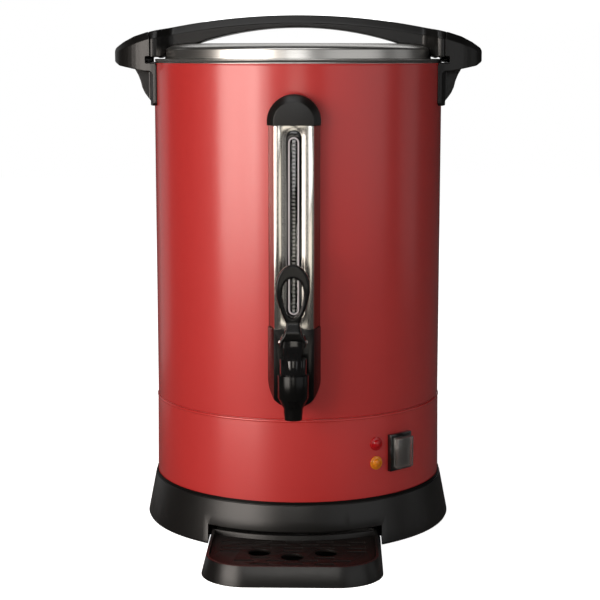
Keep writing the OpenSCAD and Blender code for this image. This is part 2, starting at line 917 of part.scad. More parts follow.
// The plate and the rounds above it, as wide as the hood
module ear_back() intersection() {
    linear_extrude(2 * big) ear_plan(0, 0);
    union() {
        ear_root();
        intersection() {
            cylinder(r = tank_r + ear_plate, h = 2 * big);
            to_side(0) linear_extrude(big) ear_plate_face();
        }
    }
}

// The two ribs that hold the hood up, on either side of the bolts
module ear_ribs() {
    for (side = [-1, 1]) translate([0, side * rib_y, 0]) rotate([90, 0, 0])
        linear_extrude(rib_t, center = true) polygon([
            [tank_r - 6, rim_z + 6],
            [tank_r - 6, ear_foot_z],
            [tank_r + 0.4, ear_foot_z],
            [tank_r + 2.2, rim_z - 35.1],
            [tank_r + 5.2, rim_z - 31.6],
            [tank_r + 8.3, rim_z - 27.3],
            [tank_r + 10.5, rim_z - 22.4],
            [tank_r + 11.8, rim_z - 17],
            [tank_r + 13.9, rim_z - 11.6],
            [tank_r + 16.5, rim_z - 7],
            [tank_r + 16.5, rim_z - 4],
            [notch_r + 3, rim_z + 6]
        ]);
}

module side_handle() difference() {
    union() {
        ear_hood();
        ear_back();
        ear_ribs();
    }
    cylinder(r = tank_r, h = 2 * big);
    translate([0, 0, rim_z - 2 * bead_r - 0.6]) cylinder(r = tank_r + 0.5, h = big);
    translate([0, 0, notch_z]) cylinder(r = notch_r, h = notch_top_z - notch_z);
    translate([0, 0, notch_z]) cylinder(r = lock_r, h = big);
    for (z = bolt_z) outwards(0, tank_r - 5, z) cylinder(r = m5_r, h = bolt_l);
}

module side_handle_left() color(black) rotate([0, 0, 180]) side_handle();

module side_handle_right() color(black) side_handle();

module bolt_places() {
    for (side = [0, 180], z = bolt_z) outwards(side, tank_in_r - washer_t - washer_lift, z) children();
}

module handle_bolts() color(steel) bolt_places() pan_screw(m5_r, bolt_l, bolt_head_r, bolt_head_t);

module sealing_washers() color(silicone) {
    bolt_places() ring(bolt_head_r + 0.8, m5_r, washer_t);
    to_front(tank_in_r - washer_t - washer_lift, cap_screw_z) ring(m4_r * 2.2, m4_r, washer_t);
}

module handle_nuts() color(steel) for (side = [0, 180], z = bolt_z)
    outwards(side, tank_r + ear_plate, z) difference() {
        cylinder(r = nut_r, h = nut_t, $fn = 6);
        translate([0, 0, -1]) cylinder(r = m5_r, h = nut_t + 2);
    }

// ---------- gauge ----------

// The gauge's cross-section in X and Y, drawn in by t
module channel_section(t, over = 0) {
    half = channel_w / 2 + over - t;
    face = channel_face_w / 2 + over / 2 - t * 0.8;
    polygon([
        [-half, -tank_r + 12],
        [-half, -bevel_y],
        [-face, -channel_y - over + t],
        [face, -channel_y - over + t],
        [half, -bevel_y],
        [half, -tank_r + 12]
    ]);
}

// The window's outline, wider and longer by the same amount
module window_outline(wider) {
    translate([0, window_z]) stadium(window_w + wider, window_l + wider);
}

module lens_outline() {
    translate([0, window_z - lens_drop]) stadium(lens_w, lens_l);
}

module gauge_channel() color(steel) {
    difference() {
        translate([0, 0, channel_foot]) linear_extrude(cap_z - channel_foot + channel_tuck) difference() {
            channel_section(0);
            channel_section(channel_t);
        }
        cylinder(r = tank_r, h = big * 2);
        upright(channel_y - 3, channel_y + 3) window_outline(recess_over);
    }
    difference() {
        upright(channel_y - recess_d - channel_t, channel_y) window_outline(recess_over);
        upright(channel_y - recess_d, channel_y + 3) window_outline(recess_over - 2 * channel_t);
        upright(channel_y - 5, channel_y + 5) window_outline(0);
    }
}

module gauge_cap() color(black) difference() {
    intersection() {
        to_front(tank_r - 8, cap_z) rotate_extrude() polygon([
            [0, 0],
            [cap_r, 0],
            [cap_r, cap_edge_out + 8],
            [cap_r - 0.6, cap_edge_out + 9],
            [cap_face_r, gauge_out + cap_out + 7.4],
            [cap_face_r - 0.8, gauge_out + cap_out + 8],
            [0, gauge_out + cap_out + 8]
        ]);
        translate([-big / 2, -big / 2, cap_z - cap_skirt]) cube(big);
    }
    cylinder(r = tank_r, h = big * 2);
    translate([0, 0, cap_z - cap_skirt - 1]) linear_extrude(cap_skirt + 1 + channel_tuck) channel_section(-0.1);
    translate([0, -sight_y, cap_z - cap_skirt - 1]) cylinder(r = sight_r, h = sight_top - cap_z + cap_skirt + 1);
    to_front(tank_r - 5, cap_screw_z) cylinder(r = m4_r, h = 14);
}

module cap_screw() color(steel) to_front(tank_in_r - washer_t - washer_lift, cap_screw_z)
    pan_screw(m4_r, 9, m4_r * 1.9, 2.2);

module gauge_window() color(black) {
    seat_y = channel_y - recess_d - channel_t;
    difference() {
        union() {
            upright(seat_y - insert_back, channel_y - recess_d + insert_front) window_outline(-2 * insert_gap);
            upright(seat_y - insert_back - insert_lip_t, seat_y) window_outline(2 * insert_lip);
        }
        upright(seat_y - big / 8, channel_y + big / 8) lens_outline();
    }
}

module gauge_lens() color(clear)
    upright(channel_y - recess_d - channel_t - insert_back - insert_lip_t, channel_y - recess_d + lens_proud)
    lens_outline();

module sight_tube() color(clear) translate([0, -sight_y, sight_foot])
    ring(sight_r, sight_r - sight_t, sight_top - sight_foot);

module tube_seals() color(silicone) for (z = [block_top, cap_z + channel_tuck - seal_h])
    translate([0, -sight_y, z]) ring(tube_seal_r, sight_r, seal_h);

// ---------- tap ----------

module housing_front(t) {
    translate([0, shank_z]) circle(cap_r - t);
    translate([t - cap_r, shank_z]) square([2 * (cap_r - t), channel_foot + housing_over - shank_z]);
}

module tap_housing() color(black) difference() {
    intersection() {
        upright(0, big) housing_front(0);
        linear_extrude(big) channel_section(0, cap_over);
    }
    intersection() {
        upright(0, big) housing_front(housing_t);
        linear_extrude(big) channel_section(housing_t, cap_over);
    }
    cylinder(r = tank_r, h = big);
    to_front(tank_r, shank_z) cylinder(r = arm_r + arm_gap, h = valve_out);
    translate([0, 0, channel_foot - arm_gap]) linear_extrude(big) channel_section(-arm_gap);
}

module tap_body() color(black) difference() {
    union() {
        translate([0, -valve_y, chamber_z]) cylinder(r = chamber_r, h = chamber_h);
        translate([0, -valve_y, chamber_z - cone_h]) cylinder(r1 = spout_r + 0.5, r2 = chamber_r, h = cone_h);
        translate([0, -valve_y, spout_z]) cylinder(r1 = spout_r - 0.3, r2 = spout_r + 0.5, h = spout_h - cone_h);
        to_front(block_y, shank_z) cylinder(r = arm_r, h = valve_y - block_y);
        to_front(block_y, shank_z) cylinder(r = flange_out, h = flange_w);
        translate([-block_w / 2, -channel_y + housing_t + 0.2, shank_z])
            cube([block_w, channel_y - housing_t - 0.2 - block_y, block_top - shank_z]);
    }
    translate([0, -valve_y, seat_z]) cylinder(r = valve_bore_r, h = chamber_h);
    translate([0, -valve_y, spout_z - 1]) cylinder(r = water_r, h = seat_z - spout_z + 2);
    to_front(block_y - 1, shank_z) cylinder(r = water_r, h = valve_y - block_y);
    to_front(block_y - 1, shank_z) cylinder(r = shank_r - shank_step, h = shank_plug);
    translate([0, -sight_y, shank_z]) cylinder(r = sight_r - sight_t, h = arm_r);
    translate([0, -sight_y, sight_foot]) cylinder(r = sight_r, h = block_top);
}

module tap_shank() color(steel) difference() {
    union() {
        to_front(tank_in_r - shank_in, shank_z) cylinder(r = shank_r, h = shank_in + tank_t + washer_t);
        to_front(block_y - 1, shank_z) cylinder(r = shank_r - shank_step - fit_gap, h = shank_plug - fit_gap);
    }
    to_front(tank_in_r - shank_in - 1, shank_z) cylinder(r = water_r, h = 2 * shank_in);
    translate([0, -sight_y, shank_z]) cylinder(r = sight_r - sight_t, h = arm_r);
    translate([0, -sight_y, sight_foot - arm_gap]) cylinder(r = sight_r + arm_gap, h = arm_r);
}

module tap_nut() color(steel) to_front(tank_in_r - washer_t - 0.7 - nut_h, shank_z) difference() {
    cylinder(r = nut_w_r, h = nut_h, $fn = 6);
    translate([0, 0, -1]) cylinder(r = shank_r, h = nut_h + 2);
}

module tap_seals() color(silicone) difference() {
    union() {
        to_front(tank_r - 6, shank_z) ring(nut_w_r - 1, shank_r, 6 + washer_t);
    }
    difference() {
        cylinder(r = tank_r, h = big);
        cylinder(r = tank_in_r, h = big);
    }
    to_front(0, shank_z) cylinder(r = nut_w_r, h = tank_in_r - washer_t - 0.7);
}

module pivot_ear() {
    to_side(ear_in) linear_extrude(ear_wide - ear_in) union() {
        translate([-pivot_y, pivot_z]) circle(hub_r);
        translate([-pivot_y - hub_r, web_top - 1]) square([2 * hub_r, pivot_z - web_top + 1]);
    }
}

// The tapered web in front of the stem, which carries the two ears and a shield before the prongs
module pivot_web() {
    upright(pivot_y - hub_r, pivot_y + hub_r) polygon([
        [-web_foot, bonnet_top - 1],
        [web_foot, bonnet_top - 1],
        [ear_wide, web_top],
        [-ear_wide, web_top]
    ]);
    upright(pivot_y, pivot_y + shield_in + shield_t)
        translate([-ear_wide, web_top - shield_foot]) square([2 * ear_wide, shield_foot]);
    upright(pivot_y + shield_in, pivot_y + shield_in + shield_t)
        translate([-ear_wide, web_top - shield_foot])
        square([2 * ear_wide, pivot_z + shield_top - web_top + shield_foot]);
}

// Turns a child drawn in Y and Z so that it lies in that plane and stands on X = x
module to_side(x) {
    translate([x, 0, 0]) rotate([90, 0, 90]) children();
}

module tap_bonnet() color(black) difference() {
    union() {
        translate([0, -valve_y, chamber_top]) cylinder(r = bonnet_r, h = bonnet_h);
        translate([0, -valve_y, chamber_top - plug_h]) cylinder(r = plug_r, h = plug_h);
        pivot_ear();
        mirror([1, 0, 0]) pivot_ear();
        pivot_web();
    }
    translate([0, -valve_y, chamber_top - plug_h - 1]) cylinder(r = spring_room_r, h = bonnet_h + plug_h + 1 - bonnet_cap_t);
    translate([0, -valve_y, chamber_top]) cylinder(r = stem_r + run_gap, h = big);
    to_side(-big / 2) translate([-pivot_y, pivot_z]) cylinder(r = pin_r, h = big);
}

module pivot_pin() color(steel) to_side(-pin_half) translate([-pivot_y, pivot_z]) cylinder(r = pin_r, h = 2 * pin_half);

// Half of the neck's width, from u = 0 below the loop to u = 1 at the cheeks
function bell_half(u) = neck_half + (cheek_out - neck_half) * pow(u, bell_power);

// The lever's outline seen from the front, about its pivot
function lever_front() = concat(
    [for (i = [0:12]) let (a = i * 7.5) [loop_w / 2 * cos(a), loop_z + (lever_h - loop_z) * sin(a)]],
    [for (i = [11:-1:0]) let (a = i * 7.5) [-loop_w / 2 * cos(a), loop_z + (lever_h - loop_z) * sin(a)]],
    [for (i = [1:8]) let (u = i / 8) [-neck_half - (loop_w / 2 - neck_half) * cos(90 * u),
        loop_z - (loop_z - neck_z) * u]],
    [for (i = [1:bell_steps]) let (u = i / bell_steps) [-bell_half(u), neck_z - (neck_z - skirt_z0) * u]],
    [[-cheek_out, -hub_r], [cheek_out, -hub_r]],
    [for (i = [bell_steps:-1:1]) let (u = i / bell_steps) [bell_half(u), neck_z - (neck_z - skirt_z0) * u]],
    [for (i = [8:-1:1]) let (u = i / 8) [neck_half + (loop_w / 2 - neck_half) * cos(90 * u),
        loop_z - (loop_z - neck_z) * u]]
);

module loop_opening() {
    mid = loop_z - 4;
    top = lever_h - mid - loop_top_t;
    low = neck_z + loop_foot_t;
    half = loop_w / 2 - loop_side_t;
    polygon(concat(
        [for (i = [0:12]) let (a = i * 15) [half * cos(a), mid + top * sin(a)]],
        [for (i = [1:7]) let (u = i / 8) [-half * pow(cos(90 * u), loop_round), mid - (mid - low) * u]],
        [[0, low]],
        [for (i = [7:-1:1]) let (u = i / 8) [half * pow(cos(90 * u), loop_round), mid - (mid - low) * u]]
    ));
}

// The lever's outline seen from the side, about its pivot
module lever_side() {
    half = loop_t / 2;
    translate([0, -hub_r]) square([hood_back, hood_top + 3 + hub_r]);
    translate([-hood_front, -hub_r]) square([hood_front + eps, hood_top + hub_r]);
    polygon([[-hood_front, hood_top - eps], [hood_back, hood_top - eps], [hood_back, hood_top + 3],
        [half + 1, neck_z], [half - 0.5, loop_z], [half - 2, lever_h], [-half + 1, lever_h + 1],
        [-half - 0.5, loop_z], [-half - 0.5, neck_z]]);
}

module lever_blank() difference() {
    intersection() {
        rotate([90, 0, 0]) linear_extrude(big, center = true) polygon(lever_front());
        rotate([0, 0, 180]) mirror([0, 1, 0]) rotate([90, 0, 90]) linear_extrude(big, center = true) lever_side();
    }
    rotate([90, 0, 0]) linear_extrude(big, center = true) loop_opening();
}

module tap_lever() color(black) translate([0, -pivot_y, pivot_z]) difference() {
    union() {
        difference() {
            rotate([lever_lean, 0, 0]) lever_blank();
            translate([-cheek_in, -hood_front + hood_t, -20]) cube([2 * cheek_in, 40, 20 + hood_top - 2]);
            translate([-cheek_in, -20, -20]) cube([2 * cheek_in, 40, 20 + 1.5]);
            for (x = [-1, 1]) translate([x * (cheek_in + 5) - 5 - eps, hub_r, -20]) cube([10 + 2 * eps, 40, 20 - hub_r / 2]);
        }
        for (x = [-prong_out, prong_in]) translate([x, 0, 0]) rotate([90, 0, 90])
            linear_extrude(prong_out - prong_in) {
                circle(hub_r);
                translate([0, prong_low]) square([pivot_out, prong_top - prong_low]);
                translate([-prong_front, 0]) square([hub_r + prong_front, hood_top - 1]);
            }
    }
    rotate([0, 90, 0]) cylinder(r = pin_r + run_gap, h = 4 * cheek_out, center = true);
}

module tap_stem() color(steel) translate([0, -valve_y, 0]) {
    translate([0, 0, stem_foot - 4]) cylinder(r = stem_r, h = head_z - stem_foot + 4 + eps);
    translate([0, 0, head_z]) cylinder(r = head_r, h = head_t);
    translate([0, 0, stem_foot]) cylinder(r = collar_r, h = collar_t);
}

module seat_cup() color(silicone) translate([0, -valve_y, 0]) difference() {
    translate([0, 0, seat_z]) cylinder(r = cup_r, h = stem_foot - seat_z);
    translate([0, 0, stem_foot - 4]) cylinder(r = stem_r, h = 5);
}

// A round wire coiled about Z from z = 0, by its centre line
module coil(r, wire, h, turns) {
    steps = turns * coil_steps;
    points = [for (i = [0:steps], j = [0:wire_sides - 1])
        let (a = 360 * i / coil_steps, b = 360 * j / wire_sides, d = r + wire * cos(b))
        [d * cos(a), d * sin(a), h * i / steps + wire * sin(b)]];
    sides = [for (i = [0:steps - 1], j = [0:wire_sides - 1])
        let (p = i * wire_sides + j, q = i * wire_sides + (j + 1) % wire_sides)
        each [[p, q, p + wire_sides], [q, q + wire_sides, p + wire_sides]]];
    start = [for (j = [1:wire_sides - 2]) [0, j + 1, j]];
    last = steps * wire_sides;
    end = [for (j = [1:wire_sides - 2]) [last, last + j, last + j + 1]];
    polyhedron(points, concat(sides, start, end));
}

module tap_spring() color(steel) {
    low = stem_foot + collar_t + spring_wire / 2;
    high = bonnet_top - bonnet_cap_t - spring_wire / 2;
    translate([0, -valve_y, low]) coil(spring_r, spring_wire / 2, high - low, spring_turns);
}

// ---------- switch and lamps ----------

// A box of full size along the outward direction, centred across it
module outward_box(r0, r1, w, h, z) {
    translate([r0, -w / 2, z - h / 2]) cube([r1 - r0, w, h]);
}

module switch_body() color(black) difference() {
    union() {
        at_front_angle(switch_angle) difference() {
            outward_box(tank_r - 4, switch_face_r, switch_w, switch_h, switch_z);
        }
        at_front_angle(switch_angle)
            outward_box(switch_face_r - switch_depth, switch_face_r, switch_body_w, switch_body_h, switch_z);
    }
    difference() {
        skirt_solid();
        at_front_angle(switch_angle)
            outward_box(0, tank_r * 2, switch_body_w, switch_body_h, switch_z);
    }
    at_front_angle(switch_angle) {
        translate([rocker_axis_r, 0, switch_z]) rotate([90, 0, 0])
            cylinder(r = rocker_r + rocker_gap, h = rocker_w + 2 * rocker_gap, center = true);
        translate([rocker_axis_r, 0, switch_z]) rotate([90, 0, 0]) cylinder(r = m4_r + run_gap, h = switch_body_w, center = true);
    }
}

module rocker() color(black) at_front_angle(switch_angle) translate([rocker_axis_r, 0, switch_z])
    rotate([0, rocker_swing, 0]) {
        intersection() {
            rotate([90, 0, 0]) cylinder(r = rocker_r, h = rocker_w, center = true);
            rotate([90, 0, 0]) linear_extrude(rocker_w, center = true) polygon([
                [-rocker_back, -rocker_r], [rocker_lip, -rocker_r], [rocker_dish, 0],
                [rocker_lip, rocker_r], [-rocker_back, rocker_r]
            ]);
        }
        rotate([90, 0, 0]) cylinder(r = m4_r, h = switch_body_w - 0.4, center = true);
    }

module switch_cover() color(clear) at_front_angle(switch_angle) difference() {
    outward_box(switch_face_r, switch_face_r + cover_out, cover_w, cover_h, switch_z);
    outward_box(switch_face_r - 1, switch_face_r + cover_out - cover_t, cover_w - 2 * cover_t,
        cover_h - 2 * cover_t, switch_z);
}

module lamp_lens(z) {
    at_front_angle(lamp_angle) outwards(0, skirt_r(z) + 0.08, z) rotate_extrude() polygon(concat(
        [[0, 0], [lens_r, 0], [lens_r, lamp_flange_t]],
        arc(0, lamp_flange_t - 3.2, lens_r - 0.6, 42, 90, 6)
    ));
}

module red_lens() color("red") lamp_lens(red_lamp_z);

module amber_lens() color("orange") lamp_lens(amber_lamp_z);

module lamp_holders() color(silicone) at_front_angle(lamp_angle) for (z = [red_lamp_z, amber_lamp_z])
    outwards(0, skirt_r(z) + 0.08 - lamp_body_l, z) {
        cylinder(r = lamp_body_r, h = lamp_body_l);
        translate([0, 0, lamp_body_l - skirt_t - 3]) cylinder(r = lamp_body_r + 1.8, h = 2);
    }

// ---------- mains inlet and electrics ----------

module inlet_block(w, h, y0, y1) {
    translate([-w / 2, y0, inlet_z - h / 2]) cube([w, y1 - y0, h]);
}

module mains_inlet() color(black) difference() {
    union() {
        difference() {
            inlet_block(inlet_w, inlet_h, tank_r - 10, inlet_y);
            skirt_solid();
        }
        inlet_block(inlet_body_w, inlet_body_h, inlet_y - socket_d - 3, inlet_y - 1);
    }
    inlet_block(socket_w, socket_h, inlet_y - socket_d, inlet_y + 1);
    for (x = [-1, 1]) to_front(-inlet_y - 1, inlet_z, x * inlet_screw_x) cylinder(r = m4_r, h = 15);
}

module inlet_pins() color(steel) for (p = [[-7, -2], [7, -2], [0, 2]])
    translate([p[0] - 1, inlet_y - socket_d, inlet_z + p[1] - 2]) cube([2, pin_l, 4]);

module inlet_screws() color(steel) for (x = [-1, 1]) to_front(-inlet_y, inlet_z, x * inlet_screw_x)
    pan_screw(m4_r, 9, m4_r * 1.9, 1.6);

module terminal_block() color(silicone) difference() {
    translate([block_x - block_l / 2, block_back - block_d / 2, plate_top]) cube([block_l, block_d, block_h]);
    for (x = [-1, 1]) translate([block_x + x * block_l / 3, block_back, plate_top - 1])
        cylinder(r = m4_r, h = block_h + 2);
}

module terminal_screws() color(steel) for (x = [-1, 1])
    translate([block_x + x * block_l / 3, block_back, plate_top + block_h]) mirror([0, 0, 1])
        pan_screw(m4_r, block_h + plate_t + 3, m4_r * 1.9, 2.2);

module earth_stud() color(steel) translate([0, -block_back, 0]) {
    translate([0, 0, plate_z - 2.2]) cylinder(r = m4_r * 1.9, h = 2.2);
    translate([0, 0, plate_z]) cylinder(r = m4_r, h = 14);
    translate([0, 0, plate_top]) ring(m4_r * 1.8, m4_r, 3.2);
}

// One wire: a run straight along X or Y on the bottom plate, with a turn up at each end
module wire(from, to, up_from, up_to) {
    d = to - from;
    l = norm(d);
    a = atan2(d[1], d[0]);
    translate([from[0], from[1], wire_z]) {
        rotate([0, 0, a]) rotate([0, 90, 0]) cylinder(r = wire_r, h = l);
        sphere(elbow_r);
        cylinder(r = wire_r, h = up_from - wire_z);
    }
    translate([to[0], to[1], wire_z]) {
        sphere(elbow_r);
        cylinder(r = wire_r, h = up_to - wire_z);
    }
}

module wiring() color("dimgray") {
    switch_dir = switch_angle - 90;
    wire([0, inlet_y - socket_d - 5], [block_x - block_l / 4, block_back + block_d / 2 + wire_r], inlet_z, plate_top + 10);
    wire([block_x, block_back - block_d / 2 - wire_r], [block_x, 5], plate_top + 10, element_z - element_leg);
    wire([block_x + block_l / 2 + wire_r, block_back],
        (switch_face_r - switch_depth - wire_r) * [cos(switch_dir), sin(switch_dir)], plate_top + 10, switch_z);
}

// ---------- heater ----------

module diffuser_plate() color(steel) difference() {
    translate([0, 0, diffuser_z]) cylinder(r = diffuser_r, h = diffuser_t);
    for (s = [-1, 1], x = [-1, 1]) translate([x * stat_screw_x, s * stat_y, diffuser_z - 1])
        cylinder(r = m4_r, h = 3.5);
}

module heating_element() color("dimgray") translate([0, 0, element_z]) {
    rotate([0, 0, element_gap_angle / 2]) rotate_extrude(angle = 360 - element_gap_angle)
        translate([element_ring_r, 0]) circle(element_r);
    for (a = [-1, 1]) rotate([0, 0, a * element_gap_angle / 2]) translate([element_ring_r, 0, 0]) {
        sphere(element_r + 0.4);
        translate([0, 0, -element_leg]) cylinder(r = element_r, h = element_leg);
    }
}

module disc_switch(s) {
    translate([0, s * stat_y, diffuser_z - stat_h]) cylinder(r = stat_r, h = stat_h);
    difference() {
        translate([-stat_screw_x - 4, s * stat_y - 4, diffuser_z - stat_flange_t])
            cube([2 * stat_screw_x + 8, 8, stat_flange_t]);
        for (x = [-1, 1]) translate([x * stat_screw_x, s * stat_y, diffuser_z - 3]) cylinder(r = m4_r, h = 5);
    }
}

module thermostat() color(black) disc_switch(-1);

module thermal_cutout() color(black) disc_switch(1);

module thermostat_screws() color(steel) for (s = [-1, 1], x = [-1, 1])
    translate([x * stat_screw_x, s * stat_y, diffuser_z - stat_flange_t]) pan_screw(m4_r, 3.2, m4_r * 1.7, 1.8);

// ---------- drip tray ----------

// The tray's outline in X and Y, drawn in by t; its back end stays open to be cut by other shapes
module tray_outline(t) {
    half = tray_w / 2 - t;
    round_y = tray_front - tray_corner_r;
    flat = tray_w / 2 - tray_corner_r;
    translate([-half, -round_y]) square([2 * half, round_y - tray_back - t]);
    translate([-flat, t - tray_front]) square([2 * flat, tray_front - t - tray_back - t]);
    for (x = [-1, 1]) translate([x * flat, -round_y]) circle(tray_corner_r - t);
}

// The tray's outer form, whose walls lean in towards the rim
module tray_form() hull() {
    linear_extrude(eps) tray_outline(0);
    translate([0, 0, tray_h - eps]) linear_extrude(eps) tray_outline(tray_draft);
}

module drip_tray() color(black) difference() {
    tray_form();
    translate([0, 0, grid_z]) linear_extrude(tray_h) difference() {
        tray_outline(tray_pocket);
        circle(tray_rear_r + tray_t);
    }
    translate([0, 0, tray_t]) linear_extrude(tray_h) difference() {
        tray_outline(tray_pocket + ledge_w);
        circle(tray_rear_r + tray_t + ledge_w);
    }
    translate([0, 0, tray_t]) linear_extrude(tray_h) intersection() {
        tray_outline(tray_pocket);
        circle(tray_rear_r);
    }
    translate([0, 0, tongue_h]) linear_extrude(tray_h) intersection() {
        tray_outline(-1);
        circle(tray_rear_r);
    }
}

module drip_grid() color(black) translate([0, 0, grid_z + 0.1]) linear_extrude(grid_t) difference() {
    tray_outline(tray_pocket + grid_gap);
    circle(tray_rear_r + tray_t + grid_gap);
    for (i = [-1:1]) translate([i * drain_x, -drain_y - (i == 0 ? drain_step : 0)]) circle(drain_r);
    for (row = slot_rows, col = row[1])
        translate([col * slot_pitch_x, row[0] * slot_pitch_y - slot_row_y]) rotate(90) stadium(slot_w, slot_l);
}

// ---------- percolator ----------

module pump_tube() color(steel) {
    translate([0, 0, floor_z + bell_h - 2]) ring(pump_r, pump_r - pump_t, pump_top - floor_z - bell_h + 2);
    translate([0, 0, basket_z - 3]) ring(pump_r + collar_w, pump_r - pump_t / 2, 3);
}

module pump_foot() color(steel) translate([0, 0, floor_z]) rotate_extrude() polygon([
    [bell_r - bell_t, 0],
    [bell_r, 0],
    [bell_r, 2],
    [pump_r + 1.5, bell_h - 3],
    [pump_r + 1.5, bell_h + 3],
    [pump_r, bell_h + 3],
    [pump_r, bell_h - 4],
    [bell_r - bell_t, 1.6]
]);

module filter_basket() color(steel) translate([0, 0, basket_z]) {
    difference() {
        cylinder(r = basket_r, h = basket_h);
        translate([0, 0, basket_t]) cylinder(r = basket_r - basket_t, h = basket_h);
        translate([0, 0, -1]) cylinder(r = sleeve_r, h = basket_h);
        for (k = [2:5], i = [0:4 * k - 1]) rotate([0, 0, i * 360 / (4 * k)])
            translate([k * basket_r / 6, 0, -1]) cylinder(r = 1.2, h = 3);
    }
    ring(sleeve_r + basket_t, sleeve_r, basket_h + 4);
    translate([0, 0, basket_h - 2]) ring(basket_r + 2, basket_r - basket_t, 2);
}

module basket_lid() color(steel) translate([0, 0, basket_z + basket_h]) difference() {
    union() {
        ring(basket_r + 1.5, sleeve_r + basket_t + 0.4, basket_t);
        ring(basket_r - 8, basket_r - 9, 4);
    }
    for (k = [2:4], i = [0:4 * k - 1]) rotate([0, 0, i * 360 / (4 * k)])
        translate([k * basket_r / 6, 0, -1]) cylinder(r = 1.2, h = 3);
}

tank();
skirt();
base();
bottom_plate();
foot_ring();
base_screws();
lid();
lid_seal();
lid_handle();
lid_screws();
side_handle_left();
side_handle_right();
handle_bolts();
sealing_washers();
handle_nuts();
gauge_channel();
gauge_cap();
cap_screw();
gauge_window();
gauge_lens();
sight_tube();
tube_seals();
tap_housing();
tap_body();
tap_shank();
tap_nut();
tap_seals();
tap_bonnet();
pivot_pin();
tap_lever();
tap_stem();
seat_cup();
tap_spring();
switch_body();
rocker();
switch_cover();
red_lens();
amber_lens();
lamp_holders();
mains_inlet();
inlet_pins();
inlet_screws();
terminal_block();
terminal_screws();
earth_stud();
wiring();
diffuser_plate();
heating_element();
thermostat();
thermal_cutout();
thermostat_screws();
drip_tray();
drip_grid();
pump_tube();
pump_foot();
filter_basket();
basket_lid();
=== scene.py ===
"""Looks of a coffee urn: red lacquered tank, twist-lock lid, sight gauge, pull-lever tap and drip tray.

Sizes are in millimetres, as in the CAD model, and meshes are made in metres in the same frame.
"""

from __future__ import annotations

import logging
import math
from dataclasses import dataclass, field
from enum import Enum
from typing import Sequence

import bmesh
import bpy
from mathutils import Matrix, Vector


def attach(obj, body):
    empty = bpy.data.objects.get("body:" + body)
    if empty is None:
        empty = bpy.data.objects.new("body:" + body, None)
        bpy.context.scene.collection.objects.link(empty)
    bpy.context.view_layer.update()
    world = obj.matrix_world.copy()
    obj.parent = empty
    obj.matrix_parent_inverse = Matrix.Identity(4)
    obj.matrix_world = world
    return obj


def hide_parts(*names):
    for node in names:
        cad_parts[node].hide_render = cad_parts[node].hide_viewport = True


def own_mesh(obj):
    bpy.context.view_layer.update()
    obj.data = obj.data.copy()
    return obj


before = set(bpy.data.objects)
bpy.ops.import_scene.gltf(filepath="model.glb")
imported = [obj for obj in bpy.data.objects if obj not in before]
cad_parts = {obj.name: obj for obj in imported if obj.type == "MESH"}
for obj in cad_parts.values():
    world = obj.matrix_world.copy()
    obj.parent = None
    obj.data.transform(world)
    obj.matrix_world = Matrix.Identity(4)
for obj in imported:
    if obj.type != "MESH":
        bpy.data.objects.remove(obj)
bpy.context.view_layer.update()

LOG = logging.getLogger("coffee_urn")
MM = 0.001
SAME_POINT = 1e-6  # points of a made piece closer than this many metres are one point
SMOOTH_ANGLE = 40.0  # edges of a made piece flatter than this many degrees are shaded smooth
SHARP_ANGLE = 32.0  # sharper edges are rounded on a made piece, and shaded sharp on a CAD node
ROUND = 256  # columns of a piece turned about the urn's axis
Point2 = tuple[float, float]
Point3 = tuple[float, float, float]


class Body(str, Enum):
    """Rigid bodies that pieces ride on."""

    URN = "urn"
    LID = "lid"
    PUMP = "pump"


class Slot(str, Enum):
    """The record's material slots."""

    RED = "red_paint"
    STEEL = "steel"
    BRIGHT = "steel_bright"
    GLOSS = "black_gloss"
    CLEAR = "clear"


# ---------------------------------------------------------------- node and colour helpers


def linear(code: str, alpha: float = 1.0) -> tuple[float, float, float, float]:
    """Turns an sRGB hex colour into linear RGBA.

    Args:
        code: six hex digits, with or without a leading #.
        alpha: opacity.

    Returns:
        Four floats for a Blender colour socket.
    """
    digits = code.lstrip("#")
    channels = [int(digits[i:i + 2], 16) / 255 for i in (0, 2, 4)]
    red, green, blue = (c / 12.92 if c <= 0.04045 else ((c + 0.055) / 1.055) ** 2.4 for c in channels)
    return red, green, blue, alpha


def add(tree: bpy.types.NodeTree, kind: str, inputs: dict | None = None, **settings: object) -> bpy.types.Node:
    """Adds one node.

    Args:
        tree: node tree that gets the node.
        kind: Blender's name for the node type.
        inputs: socket name or index to a value, or to a node, which links its first output, or to a
            (node, output name) pair.
        settings: properties of the node.

    Returns:
        The new node.
    """
    node = tree.nodes.new(kind)
    for key, value in settings.items():
        setattr(node, key, value)
    for key, value in (inputs or {}).items():
        socket = node.inputs[key]
        if isinstance(value, bpy.types.Node):
            tree.links.new(value.outputs[0], socket)
        elif isinstance(value, tuple) and value and isinstance(value[0], bpy.types.Node):
            tree.links.new(value[0].outputs[value[1]], socket)
        else:
            socket.default_value = value
    return node


# ---------------------------------------------------------------- finishes

# Noise crowds about 0.5, so these values stand for its ends: of a drift in colour, and of a relief.
DRIFT_ENDS = (0.3, 0.7)
RELIEF_ENDS = (0.25, 0.75)
SCATTER = (0.004, 0.003, 0.003)  # how far red, green and blue light spread inside a milky body, in metres


